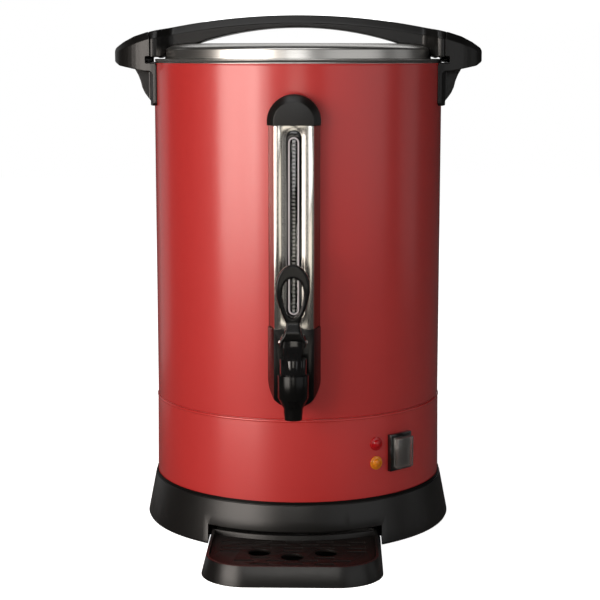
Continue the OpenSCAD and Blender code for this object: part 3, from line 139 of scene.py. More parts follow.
@dataclass(frozen=True)
class Finish:
    """What every surface has: a colour, a gloss and a fine relief.

    Args:
        name: name of the material.
        colour: sRGB hex colour.
        roughness: mean roughness.
        metallic: 1 for a metal.
        mottle: how far the colour drifts over the surface, 0 to 1.
        mottle_mm: size of that drift.
        relief_mm: depth of the surface's texture.
        grain_mm: size of the surface's texture along X, Y and Z.
        roughness_span: how far roughness strays from its mean.
        coat: weight of a clear top layer.
        coat_roughness: roughness of that layer.
        coat_ior: index of refraction of that layer.
        transmission: 1 for a clear body.
        ior: index of refraction of what isn't a metal.
        subsurface: share of light that scatters below the surface.
        specular: strength of the surface's own reflection.
    """

    name: str
    colour: str
    roughness: float
    metallic: float = 0.0
    mottle: float = 0.0
    mottle_mm: float = 40.0
    relief_mm: float = 0.0
    grain_mm: Point3 = (0.5, 0.5, 0.5)
    roughness_span: float = 0.0
    coat: float = 0.0
    coat_roughness: float = 0.1
    coat_ior: float = 1.5
    transmission: float = 0.0
    ior: float = 1.5
    subsurface: float = 0.0
    specular: float = 0.5

    def grain(self, tree: bpy.types.NodeTree, place: bpy.types.Node) -> bpy.types.Node:
        """Returns a node whose first output is the height of the surface's texture, 0 to 1."""
        scaled = add(tree, "ShaderNodeMapping", {"Vector": (place, "Object"),
                                                 "Scale": tuple(1 / (g * MM) for g in self.grain_mm)})
        return add(tree, "ShaderNodeTexNoise", {"Vector": scaled, "Scale": 1.0, "Detail": 3.0, "Roughness": 0.6})

    def tint(self, tree: bpy.types.NodeTree, place: bpy.types.Node) -> bpy.types.Node | None:
        """Adds the drift of the colour over the surface.

        Args:
            tree: the material's node tree.
            place: its Texture Coordinate node.

        Returns:
            A node whose first output is the colour, or None for a plain one.
        """
        if not self.mottle:
            return None
        drift = add(tree, "ShaderNodeTexNoise", {"Vector": (place, "Object"), "Scale": 1 / (self.mottle_mm * MM),
                                                 "Detail": 4.0, "Roughness": 0.55})
        base = linear(self.colour)
        dark = tuple(c * (1 - self.mottle) for c in base[:3]) + (1.0,)
        light = tuple(min(1.0, c * (1 + self.mottle)) for c in base[:3]) + (1.0,)
        ramp = add(tree, "ShaderNodeValToRGB", {"Fac": drift})
        for element, position, colour in zip(ramp.color_ramp.elements, DRIFT_ENDS, (dark, light)):
            element.position, element.color = position, colour
        return ramp

    def dress(self, tree: bpy.types.NodeTree, shader: bpy.types.Node, place: bpy.types.Node) -> None:
        """Hook for what a finish adds to the plain recipe; the plain finish adds nothing."""

    def material(self) -> bpy.types.Material:
        """Builds the material once.

        Returns:
            The same material at every call.
        """
        made = bpy.data.materials.get(self.name)
        if made:
            return made
        made = bpy.data.materials.new(self.name)
        made.use_nodes = True
        tree = made.node_tree
        tree.nodes.clear()
        place = add(tree, "ShaderNodeTexCoord")
        shader = add(tree, "ShaderNodeBsdfPrincipled", {
            "Base Color": linear(self.colour), "Roughness": self.roughness, "Metallic": self.metallic,
            "Coat Weight": self.coat, "Coat Roughness": self.coat_roughness, "Coat IOR": self.coat_ior,
            "Transmission Weight": self.transmission, "Subsurface Weight": self.subsurface,
            "Specular IOR Level": self.specular})
        if not self.metallic:
            shader.inputs["IOR"].default_value = self.ior
        if self.subsurface:
            shader.inputs["Subsurface Radius"].default_value = SCATTER
        tint = self.tint(tree, place)
        if tint:
            tree.links.new(tint.outputs[0], shader.inputs["Base Color"])
        if self.relief_mm or self.roughness_span:
            grain = self.grain(tree, place)
            if self.relief_mm:
                bump = add(tree, "ShaderNodeBump", {"Height": grain, "Strength": 1.0,
                                                    "Distance": self.relief_mm * MM})
                tree.links.new(bump.outputs[0], shader.inputs["Normal"])
            if self.roughness_span:
                spread = add(tree, "ShaderNodeMapRange", {
                    "Value": grain, "From Min": RELIEF_ENDS[0], "From Max": RELIEF_ENDS[1],
                    "To Min": self.roughness - self.roughness_span, "To Max": self.roughness + self.roughness_span})
                tree.links.new(spread.outputs[0], shader.inputs["Roughness"])
        self.dress(tree, shader, place)
        add(tree, "ShaderNodeOutputMaterial", {"Surface": shader})
        return made


@dataclass(frozen=True)
class SpunSteel(Finish):
    """Stainless sheet spun or polished on a lathe: fine rings about the urn's axis.

    Args:
        ring_mm: distance between rings.
    """

    ring_mm: float = 0.5

    def grain(self, tree: bpy.types.NodeTree, place: bpy.types.Node) -> bpy.types.Node:
        """Adds rings: noise that changes with the distance from the axis and with height.

        Args:
            tree: the material's node tree.
            place: its Texture Coordinate node.

        Returns:
            A node whose first output is the rings' height, 0 to 1.
        """
        parts = add(tree, "ShaderNodeSeparateXYZ", {"Vector": (place, "Object")})
        flat = add(tree, "ShaderNodeCombineXYZ", {"X": (parts, "X"), "Y": (parts, "Y")})
        radius = add(tree, "ShaderNodeVectorMath", {0: flat}, operation="LENGTH")
        along = add(tree, "ShaderNodeMath", {0: (radius, "Value"), 1: (parts, "Z")}, operation="ADD")
        scaled = add(tree, "ShaderNodeMath", {0: along, 1: 1 / (self.ring_mm * MM)}, operation="MULTIPLY")
        return add(tree, "ShaderNodeTexNoise", {"W": scaled, "Scale": 1.0, "Detail": 3.0, "Roughness": 0.7},
                   noise_dimensions="1D")


@dataclass(frozen=True)
class DrawnSteel(Finish):
    """Folded stainless strip, drawn along Z, whose narrow flanks are painted darker than its face, as painted shade.

    Args:
        face_mm: half of the face's width.
        bend_mm: width of the bend between face and flank.
        flank: sRGB hex colour of the flanks, a painted shade darker than the face.
    """

    face_mm: float = 16.2
    bend_mm: float = 1.0
    flank: str = "#8A8178"

    def tint(self, tree: bpy.types.NodeTree, place: bpy.types.Node) -> bpy.types.Node:
        """Adds the colour, with painted shade: darkened past the bends on both sides of the face.

        Args:
            tree: the material's node tree.
            place: its Texture Coordinate node.

        Returns:
            A node whose first output is the colour.
        """
        parts = add(tree, "ShaderNodeSeparateXYZ", {"Vector": (place, "Object")})
        side = add(tree, "ShaderNodeMath", {0: (parts, "X")}, operation="ABSOLUTE")
        # painted shade: past the bends, the flanks get a darker colour than the face
        flank_shade = add(tree, "ShaderNodeMapRange", {
            "Value": side, "From Min": self.face_mm * MM, "From Max": (self.face_mm + self.bend_mm) * MM,
            "To Min": 0.0, "To Max": 1.0})
        ramp = add(tree, "ShaderNodeValToRGB", {"Fac": flank_shade})
        ramp.color_ramp.elements[0].color = linear(self.colour)
        ramp.color_ramp.elements[1].color = linear(self.flank)
        return ramp


@dataclass(frozen=True)
class ShadedLipPlastic(Finish):
    """Moulded plastic whose lip, above a height, is left matt by the mould.

    Args:
        lip_mm: height at which the lip starts.
        blend_mm: height over which the shine fades.
        lip_specular: strength of the lip's own reflection, kept low as painted shade.
    """

    lip_mm: float = 39.3
    blend_mm: float = 0.2
    lip_specular: float = 0.03

    def dress(self, tree: bpy.types.NodeTree, shader: bpy.types.Node, place: bpy.types.Node) -> None:
        """Takes the shine off the lip, as painted shade.

        Args:
            tree: the material's node tree.
            shader: its surface shader.
            place: its Texture Coordinate node.
        """
        parts = add(tree, "ShaderNodeSeparateXYZ", {"Vector": (place, "Object")})
        # painted shade: above the lip's height the reflection is turned down, so that the lip reads as a dark gap
        shine = add(tree, "ShaderNodeMapRange", {
            "Value": (parts, "Z"), "From Min": self.lip_mm * MM, "From Max": (self.lip_mm + self.blend_mm) * MM,
            "To Min": self.specular, "To Max": self.lip_specular})
        tree.links.new(shine.outputs[0], shader.inputs["Specular IOR Level"])


# Lacquer baked on stainless sheet: a deep, faintly metallic red under a clear skin that shows the lamps as soft
# bands, with the slight waves of a sprayed coat.
RED_LACQUER = Finish("red_lacquer_on_stainless", "#BB2421", 0.5, metallic=0.15, mottle=0.02, mottle_mm=90,
                     relief_mm=0.004, grain_mm=(2.5, 2.5, 2.5), roughness_span=0.02, coat=1.0, coat_roughness=0.22,
                     coat_ior=1.6)
# Bright rolled stainless, drawn along the channel's length: lights run out into long streaks. The real lines are
# a few hundredths of a millimetre wide and are drawn 1.6 mm wide, so that they show. Its flanks are painted darker,
# as painted shade.
DRAWN_STEEL = DrawnSteel("drawn_stainless", "#CDCAC3", 0.2, metallic=1.0, mottle=0.04, mottle_mm=30, relief_mm=0.03,
                         grain_mm=(1.6, 1.6, 160), roughness_span=0.04)
# Stainless spun on a lathe: lights spread into soft fans. The real rings are a tenth of a millimetre apart and are
# drawn 0.5 mm apart, so that they show.
SPUN_STEEL = SpunSteel("spun_stainless", "#D6D4D0", 0.3, metallic=1.0, mottle=0.03, mottle_mm=60, relief_mm=0.004,
                       roughness_span=0.04)
# Stainless pressed and tumbled, for the basket, the pump and the hidden plates: an even, greyer sheen.
PRESSED_STEEL = Finish("pressed_stainless", "#BDBBB6", 0.33, metallic=1.0, mottle=0.06, mottle_mm=20, relief_mm=0.01,
                       grain_mm=(0.8, 0.8, 0.8), roughness_span=0.06)
# Turned and polished screws, pins and springs: small sharp glints.
BRIGHT_STEEL = Finish("turned_bright_steel", "#D2D1CE", 0.16, metallic=1.0, mottle=0.03, mottle_mm=5, relief_mm=0.003,
                      grain_mm=(0.25, 0.25, 0.25), roughness_span=0.04)
# Heat-resistant moulding with a fine spark-eroded grain, about 0.35 mm, that spreads its highlights.
SATIN_PLASTIC = Finish("moulded_black_satin", "#100F0E", 0.34, mottle=0.10, mottle_mm=25, relief_mm=0.03,
                       grain_mm=(0.35, 0.35, 0.35), roughness_span=0.05, specular=0.45)
# The base is the same moulding, but its thin lip round the skirt is darkened as painted shade of the gap there.
BASE_PLASTIC = ShadedLipPlastic("moulded_black_satin_shaded_lip", "#100F0E", 0.36, mottle=0.10, mottle_mm=25, relief_mm=0.03,
                             grain_mm=(0.35, 0.35, 0.35), roughness_span=0.05, specular=0.5)
# The drip grid's moulding is a browner black, scuffed by cups, with hardly any highlight.
GRID_PLASTIC = Finish("moulded_black_brown_grid", "#130F0D", 0.5, mottle=0.12, mottle_mm=20, relief_mm=0.03,
                      grain_mm=(0.35, 0.35, 0.35), roughness_span=0.05, specular=0.22)
# Hard plastic from a polished mould: a deep black with narrow white lights.
GLOSS_PLASTIC = Finish("moulded_black_gloss", "#0A0A0B", 0.14, mottle=0.08, mottle_mm=15, relief_mm=0.004,
                       grain_mm=(1.2, 1.2, 1.2), roughness_span=0.03, coat=0.3, coat_roughness=0.05)
# The tap's mouldings are the blackest parts: a hard plastic with narrow, weak lights.
TAP_PLASTIC = Finish("moulded_black_tap", "#080808", 0.24, mottle=0.08, mottle_mm=15, relief_mm=0.006,
                     grain_mm=(0.8, 0.8, 0.8), roughness_span=0.04, specular=0.26)
# Milky silicone of seals and washers: light soaks in and softens every edge.
SILICONE = Finish("translucent_silicone", "#D9D8CF", 0.45, mottle=0.04, mottle_mm=12, relief_mm=0.01,
                  grain_mm=(0.6, 0.6, 0.6), roughness_span=0.05, subsurface=0.3, ior=1.41)
# Matt strip behind the sight tube: it swallows light, so that the marks stand out.
MATT_STRIP = Finish("matt_black_strip", "#060606", 0.8, mottle=0.1, mottle_mm=12, relief_mm=0.01,
                    grain_mm=(0.4, 0.4, 0.4), roughness_span=0.05, specular=0.1)
# Grey ink of the level scale: flat and a little chalky.
SCALE_PRINT = Finish("grey_scale_print", "#9A9592", 0.5, mottle=0.06, mottle_mm=2, relief_mm=0.004,
                     grain_mm=(0.3, 0.3, 0.3), roughness_span=0.05)
# Painted highlight on the cut edge of the acrylic lens: the light that the edge gathers is painted as a pale
# colour, and it reads as a pale line.
LENS_EDGE_HIGHLIGHT = Finish("painted_lens_edge_highlight", "#B9B3B7", 0.3, mottle=0.05, mottle_mm=6, relief_mm=0.004,
                   grain_mm=(0.4, 0.4, 0.4), roughness_span=0.05)
# Moulded rubber of the lid's seal and the foot ring: dull, and greyer where light grazes it.
BLACK_RUBBER = Finish("black_rubber", "#171717", 0.78, mottle=0.15, mottle_mm=10, relief_mm=0.04,
                      grain_mm=(0.5, 0.5, 0.5), roughness_span=0.06, ior=1.52)
# Cast acrylic lens: clear, and with a weak reflection, so that the marks behind it can be read.
CLEAR_ACRYLIC = Finish("clear_acrylic", "#F4F7F6", 0.03, relief_mm=0.002, grain_mm=(4, 4, 4), roughness_span=0.01,
                       transmission=1.0, ior=1.49, specular=0.12)
# Drawn borosilicate tube: a clear thin wall that shows by its two bright edges.
CLEAR_GLASS = Finish("borosilicate_glass", "#F3F8F6", 0.02, relief_mm=0.001, grain_mm=(6, 6, 6), roughness_span=0.01,
                     transmission=1.0, ior=1.47)
# Moulded clear silicone over the rocker: its skin is uneven, 1.6 mm across and 12 mm along, and lights break into
# streaks.
SOFT_CLEAR_BOOT = Finish("clear_silicone_boot", "#E0DEDB", 0.16, relief_mm=0.03, grain_mm=(1.6, 1.6, 12),
                         roughness_span=0.08, transmission=0.95, ior=1.41)
# Tinted polycarbonate lenses of the pilot lamps, which are off: a full, partly clear colour with a small glint.
RED_LENS = Finish("red_polycarbonate", "#C3121B", 0.1, mottle=0.05, mottle_mm=4, relief_mm=0.003,
                  grain_mm=(1, 1, 1), roughness_span=0.03, transmission=0.35, subsurface=0.2, ior=1.58)
AMBER_LENS = Finish("amber_polycarbonate", "#F0901C", 0.1, mottle=0.05, mottle_mm=4, relief_mm=0.003,
                    grain_mm=(1, 1, 1), roughness_span=0.03, transmission=0.35, subsurface=0.2, ior=1.58)
# Cast aluminium of the heat plate: pale and grainy.
ALUMINIUM = Finish("cast_aluminium", "#B9BABB", 0.4, metallic=1.0, mottle=0.06, mottle_mm=12, relief_mm=0.03,
                   grain_mm=(0.7, 0.7, 0.7), roughness_span=0.06)
# Brass pins and terminals with a thin nickel plate: the warm metal shows through.
BRASS = Finish("nickel_plated_brass", "#C9B27A", 0.25, metallic=1.0, mottle=0.05, mottle_mm=4, relief_mm=0.004,
               grain_mm=(0.4, 0.4, 0.4), roughness_span=0.05)
# Moulded nylon of the terminal block and the lamp holders: off-white and waxy.
WHITE_NYLON = Finish("white_nylon", "#DCD9CE", 0.5, mottle=0.04, mottle_mm=8, relief_mm=0.01,
                     grain_mm=(0.5, 0.5, 0.5), roughness_span=0.04, subsurface=0.1)
# Steel sheath of the heating element, oxidised by heat: brown and grey in uneven patches.
DARK_STEEL = Finish("oxidised_element_sheath", "#5B5650", 0.5, metallic=1.0, mottle=0.25, mottle_mm=9, relief_mm=0.02,
                    grain_mm=(0.6, 0.6, 0.6), roughness_span=0.08)
# Silicone sleeve of the wires: a dull brick red.
WIRE_SLEEVE = Finish("silicone_wire_sleeve", "#A4481D", 0.55, mottle=0.08, mottle_mm=6, relief_mm=0.01,
                     grain_mm=(0.5, 0.5, 0.5), roughness_span=0.05)


# ---------------------------------------------------------------- mesh helpers


@dataclass
class Shape:
    """Points in millimetres and faces, before they become a piece."""

    points: list[Point3] = field(default_factory=list)
    faces: list[tuple[int, ...]] = field(default_factory=list)


def arc(cx: float, cy: float, r: float, start: float, end: float, steps: int = 8) -> list[Point2]:
    """Returns points on a circular arc, angles in degrees, both ends included."""
    angles = [math.radians(start + (end - start) * i / steps) for i in range(steps + 1)]
    return [(cx + r * math.cos(a), cy + r * math.sin(a)) for a in angles]


def lathe(profile: Sequence[Point2], steps: int = ROUND) -> Shape:
    """Turns a closed profile about Z.

    Args:
        profile: (radius, height) points in order; points on the axis become poles.
        steps: number of columns.

    Returns:
        A closed shape.
    """
    shape = Shape()
    rings: list[list[int]] = []
    for r, z in profile:
        if r == 0:
            shape.points.append((0.0, 0.0, z))
            rings.append([len(shape.points) - 1] * steps)
            continue
        first = len(shape.points)
        for i in range(steps):
            a = 2 * math.pi * i / steps
            shape.points.append((r * math.cos(a), r * math.sin(a), z))
        rings.append(list(range(first, first + steps)))
    for lower, upper in zip(rings, rings[1:] + rings[:1]):
        for i in range(steps):
            j = (i + 1) % steps
            face = tuple(dict.fromkeys((lower[i], lower[j], upper[j], upper[i])))
            if len(face) > 2:
                shape.faces.append(face)
    return shape


def loft(rings: Sequence[Sequence[Point3]], closed: bool = False) -> Shape:
    """Joins rings with quads.

    Args:
        rings: rings of as many points each, in order.
        closed: True where the rings form a loop; otherwise both ends are capped.

    Returns:
        A closed shape.
    """
    count = len(rings[0])
    shape = Shape([p for ring in rings for p in ring])
    last = len(rings) if closed else len(rings) - 1
    for k in range(last):
        a, b = k * count, ((k + 1) % len(rings)) * count
        for i in range(count):
            j = (i + 1) % count
            shape.faces.append((a + i, a + j, b + j, b + i))
    if not closed:
        shape.faces.append(tuple(range(count))[::-1])
        shape.faces.append(tuple(range((len(rings) - 1) * count, len(rings) * count)))
    return shape


def make(name: str, shape: Shape, finish: Finish, body: Body, replaces: Sequence[str] = (),
         edge_mm: float = 0.0) -> None:
    """Makes a piece of a shape.

    Args:
        name: name of the piece.
        shape: its mesh in millimetres.
        finish: its finish.
        body: the CAD body that it rides on.
        replaces: CAD nodes that it stands for.
        edge_mm: radius of its rounded edges, or 0.
    """
    mesh = bpy.data.meshes.new(name)
    mesh.from_pydata([(x * MM, y * MM, z * MM) for x, y, z in shape.points], [], shape.faces)
    work = bmesh.new()
    work.from_mesh(mesh)
    bmesh.ops.remove_doubles(work, verts=work.verts, dist=SAME_POINT)
    bmesh.ops.recalc_face_normals(work, faces=work.faces)
    if edge_mm:
        limit = math.radians(SHARP_ANGLE)
        sharp = [e for e in work.edges if len(e.link_faces) == 2 and e.calc_face_angle(0.0) > limit]
        bmesh.ops.bevel(work, geom=sharp, offset=edge_mm * MM, offset_type="OFFSET", segments=3, profile=0.5,
                        affect="EDGES", clamp_overlap=True)
    work.to_mesh(mesh)
    work.free()
    piece = bpy.data.objects.new(name, mesh)
    bpy.context.scene.collection.objects.link(piece)
    finish_piece(piece, finish, body, replaces)


def finish_piece(piece: bpy.types.Object, finish: Finish, body: Body, replaces: Sequence[str]) -> None:
    """Shades a mesh piece, gives it its finish and ties it to the frame.

    Args:
        piece: the object.
        finish: its finish.
        body: the CAD body that it rides on.
        replaces: CAD nodes that it stands for.
    """
    mesh = piece.data
    mesh.shade_smooth()
    mesh.set_sharp_from_angle(angle=math.radians(SMOOTH_ANGLE))
    mesh.materials.clear()
    mesh.materials.append(finish.material())
    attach(piece, body.value)
    if replaces:
        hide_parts(*replaces)
    LOG.info("piece %s: %d faces on %s", piece.name, len(mesh.polygons), body)


def soft_shading() -> bpy.types.NodeTree:
    """Builds the modifier tree that shades a CAD node smooth except across its real edges.

    Returns:
        The same tree at every call.
    """
    tree = bpy.data.node_groups.get("soft_shading")
    if tree:
        return tree
    tree = bpy.data.node_groups.new("soft_shading", "GeometryNodeTree")
    tree.interface.new_socket("Geometry", in_out="INPUT", socket_type="NodeSocketGeometry")
    angle = tree.interface.new_socket("Angle", in_out="INPUT", socket_type="NodeSocketFloat")
    angle.default_value = math.radians(SHARP_ANGLE)
    tree.interface.new_socket("Geometry", in_out="OUTPUT", socket_type="NodeSocketGeometry")
    entry = add(tree, "NodeGroupInput")
    faces = add(tree, "GeometryNodeSetShadeSmooth", {"Geometry": (entry, "Geometry"), "Shade Smooth": True},
                domain="FACE")
    bend = add(tree, "GeometryNodeInputMeshEdgeAngle")
    flat = add(tree, "FunctionNodeCompare", {"A": (bend, "Unsigned Angle"), "B": (entry, "Angle")},
               operation="LESS_THAN")
    edges = add(tree, "GeometryNodeSetShadeSmooth", {"Geometry": faces, "Shade Smooth": flat}, domain="EDGE")
    add(tree, "NodeGroupOutput", {"Geometry": edges})
    return tree


# How a CAD node is dressed.
NODE_WELD = 2e-6  # points closer than this many metres are welded
NODE_FLAT = 0.4  # faces that meet at less than this many degrees become one
NODE_ROUND = 30.0  # edges sharper than this many degrees are rounded
NODE_RELAX = 0.5  # share of the way to its neighbours that a point of a melted surface moves in one round


def dress_node(node: str, finish: Finish, edge_mm: float) -> None:
    """Gives a CAD node a finish, rounded edges and smooth curves, with its mesh left as it is.

    Args:
        node: name of the CAD node.
        finish: its finish.
        edge_mm: radius of its rounded edges, or 0.
    """
    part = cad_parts[node]
    part.data.materials.clear()
    part.data.materials.append(finish.material())
    weld = part.modifiers.new("weld", "WELD")
    weld.merge_threshold = NODE_WELD
    merge = part.modifiers.new("merge", "DECIMATE")
    merge.decimate_type = "DISSOLVE"
    merge.angle_limit = math.radians(NODE_FLAT)
    if edge_mm:
        rounding = part.modifiers.new("rounding", "BEVEL")
        rounding.width = edge_mm * MM
        rounding.segments = 2
        rounding.limit_method = "ANGLE"
        rounding.angle_limit = math.radians(NODE_ROUND)
        rounding.miter_outer = "MITER_ARC"
        rounding.use_clamp_overlap = True
    shading = part.modifiers.new("shading", "NODES")
    shading.node_group = soft_shading()


def soften_node(node: str, finish: Finish, voxel_mm: float, rounds: int) -> None:
    """Gives a moulded CAD node a finish and melts its edges into soft radii, with its mesh left as it is.

    Args:
        node: name of the CAD node.
        finish: its finish.
        voxel_mm: size of the cells that the surface is rebuilt from.
        rounds: how often the surface is relaxed; more gives larger radii.
    """
    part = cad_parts[node]
    part.data.materials.clear()
    part.data.materials.append(finish.material())
    cells = part.modifiers.new("cells", "REMESH")
    cells.mode = "VOXEL"
    cells.voxel_size = voxel_mm * MM
    cells.use_smooth_shade = True
    relax = part.modifiers.new("relax", "SMOOTH")
    relax.factor = NODE_RELAX
    relax.iterations = rounds


# ---------------------------------------------------------------- the studio


@dataclass
class Studio:
    """Camera, worktop, white surroundings and lamps.

    Args:
        focal_px: focal length in pixels of a 600 pixel frame.
        frame_px: width of the frame.
        distance: camera's distance from the tank's axis.
        height: camera's height above the worktop.
        azimuth: camera's angle round the axis from the front.
        pitch: how far it looks down.
        axis_px: column of the frame on which the tank's axis falls.
        sensor: width of the camera's sensor.
        middle: height that the lamps face, in metres.
        room: strength of the room's light in reflections.
        room_fill: what is added to it on matt surfaces.
        floor_glow: what makes the worktop white to the camera.
        floor_clear: how far reflections see through the worktop, to the lamps' lower halves.
        floor_half: half of the worktop's width, in metres.
    """

    focal_px: float = 1606.6
    frame_px: float = 600.0
    distance: float = 1441.0
    height: float = 415.9
    azimuth: float = 1.4
    pitch: float = 8.72
    axis_px: float = 298.0
    sensor: float = 36.0
    middle: float = 0.22
    room: float = 0.02
    room_fill: float = 0.06
    floor_glow: float = 0.9
    floor_clear: float = 0.9
    floor_half: float = 4.0

    def camera(self) -> None:
        """Sets up the camera."""
        data = bpy.data.cameras.new("camera")
        data.sensor_width = self.sensor
        data.lens = self.focal_px / self.frame_px * self.sensor
        data.shift_x = (self.frame_px / 2 - self.axis_px) / self.frame_px
        data.clip_start, data.clip_end = 0.05, 50
        camera = bpy.data.objects.new("camera", data)
        turn = math.radians(self.azimuth)
        camera.location = Vector((self.distance * math.sin(turn), -self.distance * math.cos(turn), self.height)) * MM
        camera.rotation_euler = (math.radians(90 - self.pitch), 0, turn)
        bpy.context.scene.collection.objects.link(camera)
        bpy.context.scene.camera = camera

    def lamp(self, name: str, azimuth: float, elevation: float, distance: float, width: float, tall: float,
             power: float, colour: str = "#FFFFFF", shown: bool = True) -> None:
        """Adds an area lamp that faces the middle of the urn.

        Args:
            name: name of the lamp.
            azimuth: degrees round the axis from the front, towards +X.
            elevation: degrees above the horizon.
            distance: metres from the urn's middle.
            width: width of the lamp in metres.
            tall: height of the lamp in metres.
            power: watts.
            colour: sRGB hex colour.
            shown: whether the camera sees it; one that stands before the camera is hidden.
        """
        data = bpy.data.lights.new(name, "AREA")
        data.shape, data.size, data.size_y = "RECTANGLE", width, tall
        data.energy = power
        data.color = linear(colour)[:3]
        lamp = bpy.data.objects.new(name, data)
        a, e = math.radians(azimuth), math.radians(elevation)
        offset = Vector((math.sin(a) * math.cos(e), -math.cos(a) * math.cos(e), math.sin(e))) * distance
        lamp.location = Vector((0, 0, self.middle)) + offset
        lamp.rotation_euler = (-offset).to_track_quat("-Z", "Y").to_euler()
        lamp.visible_camera = shown
        bpy.context.scene.collection.objects.link(lamp)

    def lamps(self) -> None:
        """Adds the lamps."""
        warm, card_white = "#FFF6EE", "#FFF8EC"
        self.lamp("key_softbox", azimuth=-45, elevation=7, distance=1.75, width=1.05, tall=1.25, power=25.5,
                  colour=warm)
        self.lamp("key_strip", azimuth=-27, elevation=7, distance=1.75, width=0.42, tall=1.25, power=5, colour=warm)
        self.lamp("left_reflector", azimuth=-135, elevation=8, distance=1.9, width=0.9, tall=1.6, power=1.4)
        self.lamp("fill_softbox", azimuth=48, elevation=7, distance=2.1, width=2.1, tall=1.4, power=6.2)
        self.lamp("side_softbox", azimuth=98, elevation=8, distance=2.1, width=0.8, tall=1.5, power=1.2)
        self.lamp("rear_softbox", azimuth=178, elevation=22, distance=2.2, width=1.3, tall=1.2, power=5)
        self.lamp("top_softbox", azimuth=-20, elevation=76, distance=1.6, width=1.1, tall=0.8, power=5)
        self.lamp("front_softbox", azimuth=0, elevation=15, distance=1.7, width=0.5, tall=0.3, power=1.7)
        self.lamp("gauge_card", azimuth=0.4, elevation=-0.3, distance=0.641, width=0.13, tall=0.208, power=0.15,
                  colour=card_white, shown=False)

    def world(self) -> None:
        """Fills the shadows a little and shows white to the camera."""
        world = bpy.data.worlds.new("studio")
        world.use_nodes = True
        tree = world.node_tree
        tree.nodes.clear()
        paths = add(tree, "ShaderNodeLightPath")
        soft = add(tree, "ShaderNodeMath", {0: (paths, "Is Diffuse Ray"), 1: self.room_fill}, operation="MULTIPLY")
        strength = add(tree, "ShaderNodeMath", {0: soft, 1: self.room}, operation="ADD")
        room = add(tree, "ShaderNodeBackground", {"Color": linear("#F4F2F0"), "Strength": strength})
        white = add(tree, "ShaderNodeBackground", {"Color": (1, 1, 1, 1), "Strength": 1.0})
        mixed = add(tree, "ShaderNodeMixShader", {0: (paths, "Is Camera Ray"), 1: room, 2: white})
        add(tree, "ShaderNodeOutputWorld", {"Surface": mixed})
        bpy.context.scene.world = world

    def floor(self) -> None:
        """Adds the worktop: white to the camera, with the urn's shadow on it."""
        material = bpy.data.materials.new("white_worktop")
        material.use_nodes = True
        tree = material.node_tree
        tree.nodes.clear()
        paths = add(tree, "ShaderNodeLightPath")
        matt = add(tree, "ShaderNodeBsdfDiffuse", {"Color": linear("#F2F1EF"), "Roughness": 0.6})
        lift = add(tree, "ShaderNodeMath", {0: (paths, "Is Camera Ray"), 1: self.floor_glow}, operation="MULTIPLY")
        glow = add(tree, "ShaderNodeEmission", {"Color": (1, 1, 1, 1), "Strength": lift})
        solid = add(tree, "ShaderNodeAddShader", {0: matt, 1: glow})
        faint = add(tree, "ShaderNodeMath", {0: (paths, "Is Glossy Ray"), 1: self.floor_clear}, operation="MULTIPLY")
        clear = add(tree, "ShaderNodeBsdfTransparent")
        mixed = add(tree, "ShaderNodeMixShader", {0: faint, 1: solid, 2: clear})
        add(tree, "ShaderNodeOutputMaterial", {"Surface": mixed})
        mesh = bpy.data.meshes.new("worktop")
        half = self.floor_half
        mesh.from_pydata([(-half, -half, 0), (half, -half, 0), (half, half, 0), (-half, half, 0)], [], [(0, 1, 2, 3)])
        mesh.materials.append(material)
        floor = bpy.data.objects.new("worktop", mesh)
        bpy.context.scene.collection.objects.link(floor)

    def build(self) -> None:
        """Builds the whole studio."""
        scene = bpy.context.scene
        scene.view_settings.view_transform = "Standard"
        self.camera()
        self.world()
        self.floor()
        self.lamps()


# ---------------------------------------------------------------- tank and lid


